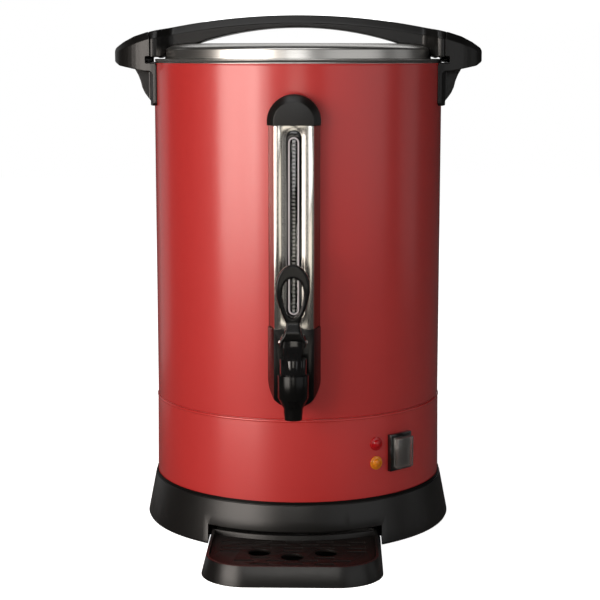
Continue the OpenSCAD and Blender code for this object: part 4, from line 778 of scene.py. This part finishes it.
@dataclass
class SkirtCoat:
    """The skirt's lacquer: a thin skin in a grid, open where the switch and the lamps go through.

    Args:
        radius: the tank's outer radius, on which widths round the skirt are measured.
        spigot: outer radius of the tank's spigot, over which the skirt's sheet goes.
        sheet: thickness of the skirt's sheet.
        top: height where the skirt is narrowest.
        foot: height where it is widest.
        flare: how much wider it is there.
        low: height of the lacquer's lower edge, behind the base's lip.
        high: height of its upper edge, below the rolled edge.
        rows: number of cells from the lower edge to the upper.
        inner: distance of the lacquer's inner side from the sheet.
        outer: distance of its outer side.
        back: angle from the front at which the lacquer ends on both sides.
        coarse: angle between columns.
        fine: angle between columns near the openings.
        fine_from: angle where the fine columns start.
        fine_to: angle where they end.
        switch_angle: angle of the switch.
        switch_z: height of its middle.
        switch_half: half of its opening's width and height.
        lamp_angle: angle of the lamps.
        lamps_z: heights of their middles.
        lamp_radius: radius of their openings.
    """

    radius: float = 127.0
    spigot: float = 126.3
    sheet: float = 0.9
    top: float = 112.6
    foot: float = 38.0
    flare: float = 0.7
    low: float = 40.0
    high: float = 110.6
    rows: int = 56
    inner: float = 0.02
    outer: float = 0.1
    back: int = 150
    coarse: int = 2
    fine: float = 0.5
    fine_from: int = 24
    fine_to: int = 61
    switch_angle: float = 44.0
    switch_z: float = 78.3
    switch_half: Point2 = (12.2, 15.7)
    lamp_angle: float = 32.7
    lamps_z: Point2 = (88.0, 71.4)
    lamp_radius: float = 5.6

    def columns(self) -> list[float]:
        """Lays out the grid's columns, close together where the openings are.

        Returns:
            Their angles from the front.
        """
        steps = int((self.fine_to - self.fine_from) / self.fine)
        near = [self.fine_from + i * self.fine for i in range(steps)]
        return [*range(-self.back, self.fine_from, self.coarse), *near,
                *range(self.fine_to, self.back + 1, self.coarse)]

    def is_open(self, angle: float, z: float) -> bool:
        """Says whether a point of the grid lies in an opening.

        Args:
            angle: its angle from the front.
            z: its height.

        Returns:
            True in the switch's opening and in the lamps' openings.
        """
        across = math.radians(angle - self.switch_angle) * self.radius
        beside = math.radians(angle - self.lamp_angle) * self.radius
        in_switch = abs(across) < self.switch_half[0] and abs(z - self.switch_z) < self.switch_half[1]
        return in_switch or min(math.hypot(beside, z - lamp) for lamp in self.lamps_z) < self.lamp_radius

    def skin(self) -> Shape:
        """Lays out both sides of the lacquer and closes them along every edge.

        Returns:
            A closed shape.
        """
        columns = self.columns()
        heights = [self.low + (self.high - self.low) * j / self.rows for j in range(self.rows + 1)]
        angles = [math.radians(c) for c in columns]
        wide, tall = len(columns), len(heights)
        shape = Shape()
        for lift in (self.inner, self.outer):
            for z in heights:
                r = self.spigot + self.sheet + self.flare * (self.top - z) / (self.top - self.foot) + lift
                shape.points.extend((r * math.sin(a), -r * math.cos(a), z) for a in angles)
        inside = {(i, j) for i in range(wide) for j in range(tall) if self.is_open(columns[i], heights[j])}
        cells = [(i, j) for i in range(wide - 1) for j in range(tall - 1)
                 if not {(i, j), (i + 1, j), (i, j + 1), (i + 1, j + 1)} <= inside]
        kept, outer = set(cells), wide * tall
        for i, j in cells:
            ring = (j * wide + i, j * wide + i + 1, (j + 1) * wide + i + 1, (j + 1) * wide + i)
            shape.faces.append(tuple(outer + k for k in ring))
            shape.faces.append(ring[::-1])
            for side, beside in enumerate(((i, j - 1), (i + 1, j), (i, j + 1), (i - 1, j))):
                if beside not in kept:
                    p, q = ring[side], ring[(side + 1) % len(ring)]
                    shape.faces.append((p, q, outer + q, outer + p))
        return shape

    def build(self) -> None:
        """Builds the lacquer over the skirt's CAD node."""
        make("skirt_lacquer", self.skin(), RED_LACQUER, Body.URN)


@dataclass
class Tank:
    """The tank: a red skin outside, spun steel inside and a bare rolled rim.

    Args:
        radius: outer radius.
        wall: thickness of the sheet.
        skin: thickness shown for the lacquered side.
        seam: height of the seam with the skirt.
        spigot: outer radius of the spigot below the seam.
        floor: height of the floor's upper side.
        rim: height of the rim.
        bead: radius of the rolled rim.
        proud: how far the rolled rim stands out of the wall.
        film: thickness of the lacquer where it ends on the rolled rim.
        turn: radius of the wall's lower corner.
    """

    radius: float = 127.0
    wall: float = 0.8
    skin: float = 0.45
    seam: float = 113.0
    spigot: float = 126.3
    floor: float = 119.0
    rim: float = 409.0
    bead: float = 1.4
    proud: float = 0.2
    film: float = 0.14
    turn: float = 0.5

    def bead_centre(self) -> Point2:
        """Returns the middle of the rolled rim's wire."""
        return self.radius - self.bead + self.proud, self.rim - self.bead

    def lacquer(self) -> Shape:
        """Draws the red outer side, turned in at the seam and under the rim.

        Returns:
            A closed shape.
        """
        outer, inner, hidden = self.radius, self.radius - self.skin, self.spigot - 0.2
        bead_x, bead_z = self.bead_centre()
        groove, groove_low, groove_high = self.spigot + 0.12, self.seam - 0.25, self.seam + 0.1
        edge_z, cover = self.seam + self.turn + 0.35, 0.6
        return lathe([(hidden, groove_low), (groove, groove_low), (groove, groove_high),
                      *arc(outer - self.turn, edge_z, self.turn, -50, 0, 4),
                      (outer, bead_z - self.bead), *arc(bead_x, bead_z, self.bead + self.film, -32, 8, 5),
                      (bead_x + cover, bead_z), (inner, bead_z - self.bead), (inner, self.seam + 0.9),
                      (hidden, self.seam + 0.3)])

    def seam_edge(self) -> Shape:
        """Draws the skirt's rolled top edge, which laps the seam.

        Returns:
            A closed shape.
        """
        r, x, z = 1.25, self.spigot + 0.15, self.seam - 1.6
        low, under, over = z - 1.4, self.radius - 0.2, self.radius + 0.18
        return lathe([(under, low), (over, low), *arc(x, z, r, -40, 84, 12), (x - 0.1, z + r - 0.6)])

    def liner(self) -> Shape:
        """Draws the steel side with its floor, spigot and rolled rim.

        Returns:
            A closed shape.
        """
        inner, foot = self.radius - self.wall, self.floor - self.wall
        spigot_in, spigot_low, corner = self.spigot - self.wall, self.seam - 9, 4
        even = 60  # radius of a ring in the floor, which keeps its faces short
        return lathe([(0, foot), (spigot_in, foot), (spigot_in, spigot_low), (self.spigot, spigot_low),
                      (self.spigot, self.seam + 0.2), (inner + 0.3, self.seam + 0.9),
                      *arc(*self.bead_centre(), self.bead, -60, 286, 22),
                      *arc(inner - corner, self.floor + corner, corner, 0, -90, 8), (even, self.floor),
                      (0, self.floor)])

    def build(self) -> None:
        """Builds both sides and the skirt's rolled edge."""
        make("tank_lacquer", self.lacquer(), RED_LACQUER, Body.URN, ["tank"])
        make("skirt_rolled_edge", self.seam_edge(), RED_LACQUER, Body.URN)
        make("tank_liner", self.liner(), SPUN_STEEL, Body.URN, ["tank"])


@dataclass
class Lid:
    """The spun lid: a shallow dome, an upright wall and a flange with a hemmed edge.

    Args:
        crown: height of the top.
        shoulder: height of the wall's top.
        flange: height of the flange.
        flat: radius of the flat top.
        wall: radius of the wall.
        edge: radius of the flange.
        sheet: thickness of the sheet.
        even: radius of a ring in the flat top, which keeps its faces short.
        bend: radius of the bend between wall and flange.
        hem: radius of the flange's hem.
    """

    crown: float = 424.6
    shoulder: float = 418.9
    flange: float = 411.3
    flat: float = 88.0
    wall: float = 117.4
    edge: float = 126.5
    sheet: float = 0.8
    even: float = 45.0
    bend: float = 0.7
    hem: float = 0.5

    def dome(self, inset: float) -> list[Point2]:
        """Draws a quarter of an ellipse from the flat top to the wall.

        Args:
            inset: distance inside the lid's outer side.

        Returns:
            Points of the profile.
        """
        reach, steps = self.wall - inset - self.flat, 18
        angles = [math.radians(90 * i / steps) for i in range(steps + 1)]
        return [(self.flat + reach * math.sin(a), self.shoulder - inset + (self.crown - self.shoulder) * math.cos(a))
                for a in angles]

    def build(self) -> None:
        """Builds the lid and the black lip below its flange, which is partly seal and partly painted shade."""
        t, hem, bend, under = self.sheet, self.hem, self.bend, self.flange - self.sheet
        bend_x, bend_z = self.wall + bend, self.flange + bend
        upper = [(0, self.crown), (self.even, self.crown), *self.dome(0), *arc(bend_x, bend_z, bend, 180, 270, 5),
                 *arc(self.edge - hem, self.flange - hem, hem, 90, -90, 10)]
        lower = [(self.edge - t, self.flange - 2 * hem), (self.edge - t - 0.2, under), (bend_x, under),
                 *arc(bend_x, bend_z, bend + t, 270, 180, 5), *self.dome(t)[::-1], (self.even, self.crown - t),
                 (0, self.crown - t)]
        make("lid_spun", lathe(upper + lower), SPUN_STEEL, Body.LID, ["lid"])
        # painted shade: the black lip fills the gap under the flange, standing in for its shade as well as the seal
        make("lid_seal_and_shade_lip", self.seal_and_shade_lip(), BLACK_RUBBER, Body.LID)

    def seal_and_shade_lip(self) -> Shape:
        """Draws a black lip that fills the gap between flange and rim: partly the seal's lip, partly painted shade of
        the gap.

        Returns:
            A closed shape.
        """
        low, high, turn = self.flange - 2.2, self.flange - 1.0, 0.35
        inner, outer = self.edge - 3, self.edge - 0.25
        return lathe([(inner, low), *arc(outer - turn, low + turn, turn, -90, 0, 4), (outer, high), (inner, high)])


# ---------------------------------------------------------------- things grown by rule


def grow(name: str, tree: bpy.types.NodeTree, values: dict[str, float], finish: Finish, body: Body,
         replaces: Sequence[str] = ()) -> bpy.types.Object:
    """Runs a node tree once and keeps the mesh that it makes as a piece.

    Args:
        name: name of the piece.
        tree: the node tree.
        values: the tree's named inputs.
        finish: its finish.
        body: the CAD body that it rides on.
        replaces: CAD nodes that it stands for.

    Returns:
        The finished object.
    """
    piece = bpy.data.objects.new(name, bpy.data.meshes.new(name))
    bpy.context.scene.collection.objects.link(piece)
    rule = piece.modifiers.new("rule", "NODES")
    rule.node_group = tree
    for item in tree.interface.items_tree:
        if item.item_type == "SOCKET" and item.in_out == "INPUT" and item.name in values:
            rule[item.identifier] = values[item.name]
    bpy.context.view_layer.update()
    graph = bpy.context.evaluated_depsgraph_get()
    mesh = bpy.data.meshes.new_from_object(piece.evaluated_get(graph), preserve_all_data_layers=True, depsgraph=graph)
    piece.modifiers.clear()
    piece.data = mesh
    finish_piece(piece, finish, body, replaces)
    return piece


def rule_tree(name: str, whole: Sequence[str], measures: Sequence[str]) -> tuple[bpy.types.NodeTree, bpy.types.Node]:
    """Starts a node tree with named inputs.

    Args:
        name: name of the tree.
        whole: names of its inputs that are whole numbers.
        measures: names of its inputs that are measures in metres, or numbers.

    Returns:
        The tree and its Group Input node.
    """
    tree = bpy.data.node_groups.new(name, "GeometryNodeTree")
    tree.interface.new_socket("Geometry", in_out="INPUT", socket_type="NodeSocketGeometry")
    for label in whole:
        tree.interface.new_socket(label, in_out="INPUT", socket_type="NodeSocketInt")
    for label in measures:
        tree.interface.new_socket(label, in_out="INPUT", socket_type="NodeSocketFloat")
    tree.interface.new_socket("Geometry", in_out="OUTPUT", socket_type="NodeSocketGeometry")
    return tree, add(tree, "NodeGroupInput")


def end_tree(tree: bpy.types.NodeTree, last: bpy.types.Node, finish: Finish) -> bpy.types.NodeTree:
    """Ends a node tree: its instances become one mesh with one material.

    Args:
        tree: the node tree.
        last: the node whose first output is the geometry.
        finish: the finish.

    Returns:
        The tree.
    """
    solid = add(tree, "GeometryNodeRealizeInstances", {"Geometry": last})
    dressed = add(tree, "GeometryNodeSetMaterial", {"Geometry": solid, "Material": finish.material()})
    add(tree, "NodeGroupOutput", {"Geometry": dressed})
    return tree


def scale_marks(finish: Finish) -> bpy.types.NodeTree:
    """Builds the rule for a column of level marks, evenly spaced up the gauge.

    Args:
        finish: the marks' finish.

    Returns:
        The node tree.
    """
    tree, entry = rule_tree("scale_marks", ["Count"], ["Pitch", "Foot", "Front", "Width", "Depth", "Height"])
    start = add(tree, "ShaderNodeCombineXYZ", {"Y": (entry, "Front"), "Z": (entry, "Foot")})
    step = add(tree, "ShaderNodeCombineXYZ", {"Z": (entry, "Pitch")})
    column = add(tree, "GeometryNodeMeshLine", {"Count": (entry, "Count"), "Start Location": start, "Offset": step})
    size = add(tree, "ShaderNodeCombineXYZ", {"X": (entry, "Width"), "Y": (entry, "Depth"), "Z": (entry, "Height")})
    mark = add(tree, "GeometryNodeMeshCube", {"Size": size})
    marks = add(tree, "GeometryNodeInstanceOnPoints", {"Points": column, "Instance": mark})
    return end_tree(tree, marks, finish)


def coil(finish: Finish) -> bpy.types.NodeTree:
    """Builds the rule for a coil spring: a round wire swept along a helix.

    Args:
        finish: the wire's finish.

    Returns:
        The node tree.
    """
    tree, entry = rule_tree("coil", ["Steps", "Sides"], ["Turns", "Radius", "Wire", "Height", "Foot", "Front"])
    helix = add(tree, "GeometryNodeCurveSpiral", {"Resolution": (entry, "Steps"), "Rotations": (entry, "Turns"),
                                                  "Start Radius": (entry, "Radius"), "End Radius": (entry, "Radius"),
                                                  "Height": (entry, "Height")})
    ring = add(tree, "GeometryNodeCurvePrimitiveCircle", {"Resolution": (entry, "Sides"), "Radius": (entry, "Wire")})
    wire = add(tree, "GeometryNodeCurveToMesh", {"Curve": helix, "Profile Curve": ring, "Fill Caps": True})
    place = add(tree, "ShaderNodeCombineXYZ", {"Y": (entry, "Front"), "Z": (entry, "Foot")})
    moved = add(tree, "GeometryNodeTransform", {"Geometry": wire, "Translation": place})
    return end_tree(tree, moved, finish)


@dataclass
class TapSpring:
    """The spring that holds the tap shut, drawn fixed; the real one shortens towards the bonnet's cap as the stem
    rises.

    Args:
        front: distance of its axis from the urn's axis.
        low: height of its foot.
        high: height of its top.
        radius: radius of the coil.
        wire: radius of the wire.
        turns: number of turns.
        steps: points in each turn.
        sides: sides of the wire.
        lift: travel of the stem; not used.
    """

    front: float = 157.0
    low: float = 148.4
    high: float = 167.5
    radius: float = 4.4
    wire: float = 0.45
    turns: float = 5.0
    steps: int = 48
    sides: int = 14
    lift: float = 4.6

    def build(self) -> None:
        """Builds the spring; its coil comes from a rule."""
        tall = self.high - self.low
        values = {"Steps": self.steps, "Sides": self.sides, "Turns": self.turns, "Radius": self.radius * MM,
                  "Wire": self.wire * MM, "Height": (tall - 2 * self.wire) * MM,
                  "Foot": (self.low + self.wire) * MM, "Front": -self.front * MM}
        piece = grow("tap_spring_coil", coil(BRIGHT_STEEL), values, BRIGHT_STEEL, Body.URN,
                     ["tap_spring"])
        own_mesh(piece)


def perforated_disc(finish: Finish, rings: int) -> bpy.types.NodeTree:
    """Builds the rule for a round sheet with a centre hole and rings of small holes.

    Args:
        finish: the sheet's finish.
        rings: rings that fit the sheet, of which the centre hole takes the first; each has four holes more.

    Returns:
        The node tree.
    """
    first, more, hole_sides, outer_sides, inner_sides = 2, 4, 16, 128, 48
    tree, entry = rule_tree("perforated_disc_%d" % rings, [], ["Outer", "Inner", "Pitch", "Hole", "Sheet", "Foot"])
    points = add(tree, "GeometryNodeJoinGeometry")
    for k in range(first, rings + 1):
        reach = add(tree, "ShaderNodeMath", {0: (entry, "Pitch"), 1: float(k)}, operation="MULTIPLY")
        ring = add(tree, "GeometryNodeMeshCircle", {"Vertices": more * k, "Radius": reach})
        tree.links.new(ring.outputs[0], points.inputs[0])
    hole = add(tree, "GeometryNodeCurvePrimitiveCircle", {"Resolution": hole_sides, "Radius": (entry, "Hole")})
    holes = add(tree, "GeometryNodeInstanceOnPoints", {"Points": points, "Instance": hole})
    curves = add(tree, "GeometryNodeJoinGeometry")
    tree.links.new(add(tree, "GeometryNodeRealizeInstances", {"Geometry": holes}).outputs[0], curves.inputs[0])
    for radius, sides in (("Outer", outer_sides), ("Inner", inner_sides)):
        edge = add(tree, "GeometryNodeCurvePrimitiveCircle", {"Resolution": sides, "Radius": (entry, radius)})
        tree.links.new(edge.outputs[0], curves.inputs[0])
    sheet = add(tree, "GeometryNodeFillCurve", {"Curve": curves})
    thick = add(tree, "GeometryNodeExtrudeMesh", {"Mesh": sheet, "Offset Scale": (entry, "Sheet"),
                                                  "Individual": False})
    both = add(tree, "GeometryNodeJoinGeometry")
    for part in (add(tree, "GeometryNodeFlipFaces", {"Mesh": sheet}), thick):
        tree.links.new(part.outputs[0], both.inputs[0])
    welded = add(tree, "GeometryNodeMergeByDistance", {"Geometry": both, "Distance": SAME_POINT})
    place = add(tree, "ShaderNodeCombineXYZ", {"Z": (entry, "Foot")})
    moved = add(tree, "GeometryNodeTransform", {"Geometry": welded, "Translation": place})
    return end_tree(tree, moved, finish)


@dataclass
class Basket:
    """The coffee basket that hangs on the pump tube.

    Args:
        foot: height of its underside.
        radius: outer radius.
        tall: height of its wall.
        sheet: thickness of the sheet.
        sleeve: inner radius of the sleeve round the pump tube.
        pitch: distance between rings of holes.
        rings: rings of holes that fit the floor.
        hole: radius of a hole.
        lap: how far wall and floor lap at the foot.
        hem: radius of the wall's rolled rim.
        flare: width of the sleeve's foot.
    """

    foot: float = 300.0
    radius: float = 60.0
    tall: float = 65.0
    sheet: float = 0.8
    sleeve: float = 5.9
    pitch: float = 10.0
    rings: int = 5
    hole: float = 1.2
    lap: float = 4.0
    hem: float = 1.0
    flare: float = 2.0

    def wall(self) -> Shape:
        """Draws the wall with its rolled rim and its rounded foot.

        Returns:
            A closed shape.
        """
        r, t, low, high, hem, columns = self.radius, self.sheet, self.foot, self.foot + self.tall, self.hem, 160
        bend, bend_in, end = 1.6, 1.2, r - self.lap
        return lathe([(end, low), *arc(r - bend, low + bend, bend, -90, 0, 8), (r, high - 2 * hem),
                      *arc(r + hem, high - hem, hem, -90, 90, 10), (r - t, high),
                      *arc(r - t - bend_in, low + t + bend_in, bend_in, 0, -90, 8), (end, low + t)], columns)

    def pipe(self) -> Shape:
        """Draws the sleeve, flared at its foot.

        Returns:
            A closed shape.
        """
        s, t, low, columns = self.sleeve, self.sheet, self.foot, 64
        high, bend, lip = low + self.tall + 4, 0.8, t / 2
        return lathe([(s, low), (s + self.flare, low), (s + self.flare, low + t),
                      *arc(s + t + bend, low + t + bend, bend, 270, 180, 6),
                      *arc(s + lip, high - lip, lip, 0, 180, 8)], columns)

    def build(self) -> None:
        """Builds the basket; its floor comes from a rule."""
        make("basket_wall", self.wall(), PRESSED_STEEL, Body.PUMP, ["filter_basket"])
        make("basket_sleeve", self.pipe(), PRESSED_STEEL, Body.PUMP, ["filter_basket"])
        over, sunk = 0.2, 0.01
        values = {"Outer": (self.radius - self.lap + over) * MM, "Inner": (self.sleeve + self.flare - over) * MM,
                  "Pitch": self.pitch * MM, "Hole": self.hole * MM, "Sheet": (self.sheet - 2 * sunk) * MM,
                  "Foot": (self.foot + sunk) * MM}
        grow("basket_floor", perforated_disc(PRESSED_STEEL, self.rings), values, PRESSED_STEEL, Body.PUMP,
             ["filter_basket"])


@dataclass
class Gauge:
    """What shows through the level gauge's lens: a black strip with marks, and a painted highlight on the lens's
    edge.

    Args:
        half: half of the lens's width.
        low: height of the lens's foot.
        high: height of its top.
        back: distance of the strip's front from the axis.
        front: distance of the lens's front from the axis.
        rim: width of the painted edge highlight.
        proud: how far the painted edge highlight stands out of the lens.
        strip_half: half of the strip's width.
        strip_thick: thickness of the strip.
        strip_past: how far the strip runs past both ends of the lens.
        marks: number of marks.
        mark_pitch: distance between marks.
        mark_first: height of the lowest mark above the lens's foot.
        mark_behind: distance of the marks behind the lens's front.
        mark_size: a mark's width, depth and height.
    """

    half: float = 4.3
    low: float = 204.25
    high: float = 349.25
    back: float = 129.1
    front: float = 141.1
    rim: float = 1.15
    proud: float = 0.3
    strip_half: float = 8.4
    strip_thick: float = 1.0
    strip_past: float = 8.0
    marks: int = 47
    mark_pitch: float = 3.0
    mark_first: float = 3.4
    mark_behind: float = 2.3
    mark_size: Point3 = (2.1, 0.2, 1.6)

    def outline(self, inset: float, y: float) -> list[Point3]:
        """Draws the lens's outline: two half circles joined by straight sides.

        Args:
            inset: how far it is drawn in.
            y: its distance from the axis.

        Returns:
            Points of a closed ring.
        """
        r = self.half - inset
        upper = [(r * math.cos(a), self.high - self.half + r * math.sin(a)) for a in self.half_turn()]
        lower = [(-r * math.cos(a), self.low + self.half - r * math.sin(a)) for a in self.half_turn()]
        return [(x, -y, z) for x, z in upper + lower]

    @staticmethod
    def half_turn() -> list[float]:
        """Returns the angles of half a turn."""
        steps = 14
        return [math.pi * i / steps for i in range(steps + 1)]

    def build(self) -> None:
        """Builds the strip, its marks and the painted highlight on the lens's edge."""
        wide, rear, past = self.strip_half, self.back - self.strip_thick, self.strip_past
        strip = [[(x, -y, z) for x, y in ((-wide, rear), (wide, rear), (wide, self.back), (-wide, self.back))]
                 for z in (self.low - past, self.high + past)]
        make("gauge_back_strip", loft(strip), MATT_STRIP, Body.URN, edge_mm=0.2)
        # painted highlight: a pale ring round the lens stands in for the light that its edge gathers
        foot, top = self.front + 0.05, self.front + self.proud
        edge = [self.outline(-0.1, foot), self.outline(0.15, top), self.outline(self.rim - 0.2, top),
                self.outline(self.rim, foot)]
        make("gauge_lens_edge_highlight", loft(edge, closed=True), LENS_EDGE_HIGHLIGHT, Body.URN)
        width, depth, height = self.mark_size
        values = {"Count": self.marks, "Pitch": self.mark_pitch * MM, "Foot": (self.low + self.mark_first) * MM,
                  "Front": -(self.front - self.mark_behind) * MM, "Width": width * MM, "Depth": depth * MM,
                  "Height": height * MM}
        grow("gauge_marks", scale_marks(SCALE_PRINT), values, SCALE_PRINT, Body.URN)


# ---------------------------------------------------------------- CAD nodes that stay


@dataclass
class KeptNodes:
    """CAD nodes that stay, with what each one gets.

    Args:
        table: finish and edge radius of the nodes whose shape is right.
        soft: finish, cell size and rounds of the moulded nodes whose edges are melted.
    """

    table: dict[str, tuple[Finish, float]] = field(default_factory=lambda: {
        "skirt": (RED_LACQUER, 0.25),
        "base": (BASE_PLASTIC, 0.7),
        "bottom_plate": (PRESSED_STEEL, 0.2),
        "foot_ring": (BLACK_RUBBER, 0.3),
        "base_screws": (BRIGHT_STEEL, 0.25),
        "lid_seal": (BLACK_RUBBER, 0.3),
        "lid_screws": (BRIGHT_STEEL, 0.3),
        "handle_bolts": (BRIGHT_STEEL, 0.4),
        "sealing_washers": (SILICONE, 0.3),
        "handle_nuts": (BRIGHT_STEEL, 0.3),
        "gauge_channel": (DRAWN_STEEL, 0.3),
        "gauge_cap": (SATIN_PLASTIC, 0.4),
        "cap_screw": (BRIGHT_STEEL, 0.3),
        "gauge_window": (GLOSS_PLASTIC, 0.1),
        "gauge_lens": (CLEAR_ACRYLIC, 0.3),
        "sight_tube": (CLEAR_GLASS, 0.15),
        "tube_seals": (SILICONE, 0.4),
        "tap_housing": (TAP_PLASTIC, 0.4),
        "tap_body": (TAP_PLASTIC, 0.4),
        "tap_shank": (BRIGHT_STEEL, 0.3),
        "tap_nut": (BRIGHT_STEEL, 0.4),
        "tap_seals": (SILICONE, 0.3),
        "tap_bonnet": (GLOSS_PLASTIC, 0.3),
        "pivot_pin": (BRIGHT_STEEL, 0.3),
        "tap_stem": (BRIGHT_STEEL, 0.3),
        "seat_cup": (SILICONE, 0.4),
        "switch_body": (GLOSS_PLASTIC, 0.4),
        "rocker": (GLOSS_PLASTIC, 0.3),
        "switch_cover": (SOFT_CLEAR_BOOT, 0.5),
        "red_lens": (RED_LENS, 0.2),
        "amber_lens": (AMBER_LENS, 0.2),
        "lamp_holders": (WHITE_NYLON, 0.3),
        "mains_inlet": (GLOSS_PLASTIC, 0.4),
        "inlet_pins": (BRASS, 0.2),
        "inlet_screws": (BRIGHT_STEEL, 0.2),
        "terminal_block": (WHITE_NYLON, 0.5),
        "terminal_screws": (BRASS, 0.2),
        "earth_stud": (BRASS, 0.2),
        "wiring": (WIRE_SLEEVE, 0.0),
        "diffuser_plate": (ALUMINIUM, 0.4),
        "heating_element": (DARK_STEEL, 0.0),
        "thermostat": (GLOSS_PLASTIC, 0.3),
        "thermal_cutout": (GLOSS_PLASTIC, 0.3),
        "thermostat_screws": (BRIGHT_STEEL, 0.2),
        "drip_tray": (SATIN_PLASTIC, 0.9),
        "drip_grid": (GRID_PLASTIC, 0.35),
        "pump_tube": (PRESSED_STEEL, 0.15),
        "pump_foot": (PRESSED_STEEL, 0.15),
        "basket_lid": (PRESSED_STEEL, 0.0),
    })

    soft: dict[str, tuple[Finish, float, int]] = field(default_factory=lambda: {
        "lid_handle": (SATIN_PLASTIC, 0.8, 4),
        "side_handle_left": (SATIN_PLASTIC, 0.5, 5),
        "side_handle_right": (SATIN_PLASTIC, 0.5, 5),
        "tap_lever": (TAP_PLASTIC, 0.4, 60),
    })

    def build(self) -> None:
        """Dresses each node."""
        for node, (finish, edge) in self.table.items():
            dress_node(node, finish, edge)
        for node, (finish, voxel, rounds) in self.soft.items():
            soften_node(node, finish, voxel, rounds)
        LOG.info("dressed %d CAD nodes", len(self.table) + len(self.soft))


def main() -> None:
    """Builds the scene."""
    logging.basicConfig(level=logging.INFO, format="%(name)s: %(message)s")
    Studio().build()
    SkirtCoat().build()
    Tank().build()
    Lid().build()
    Gauge().build()
    Basket().build()
    TapSpring().build()
    KeptNodes().build()


if __name__ == "__main__":
    main()
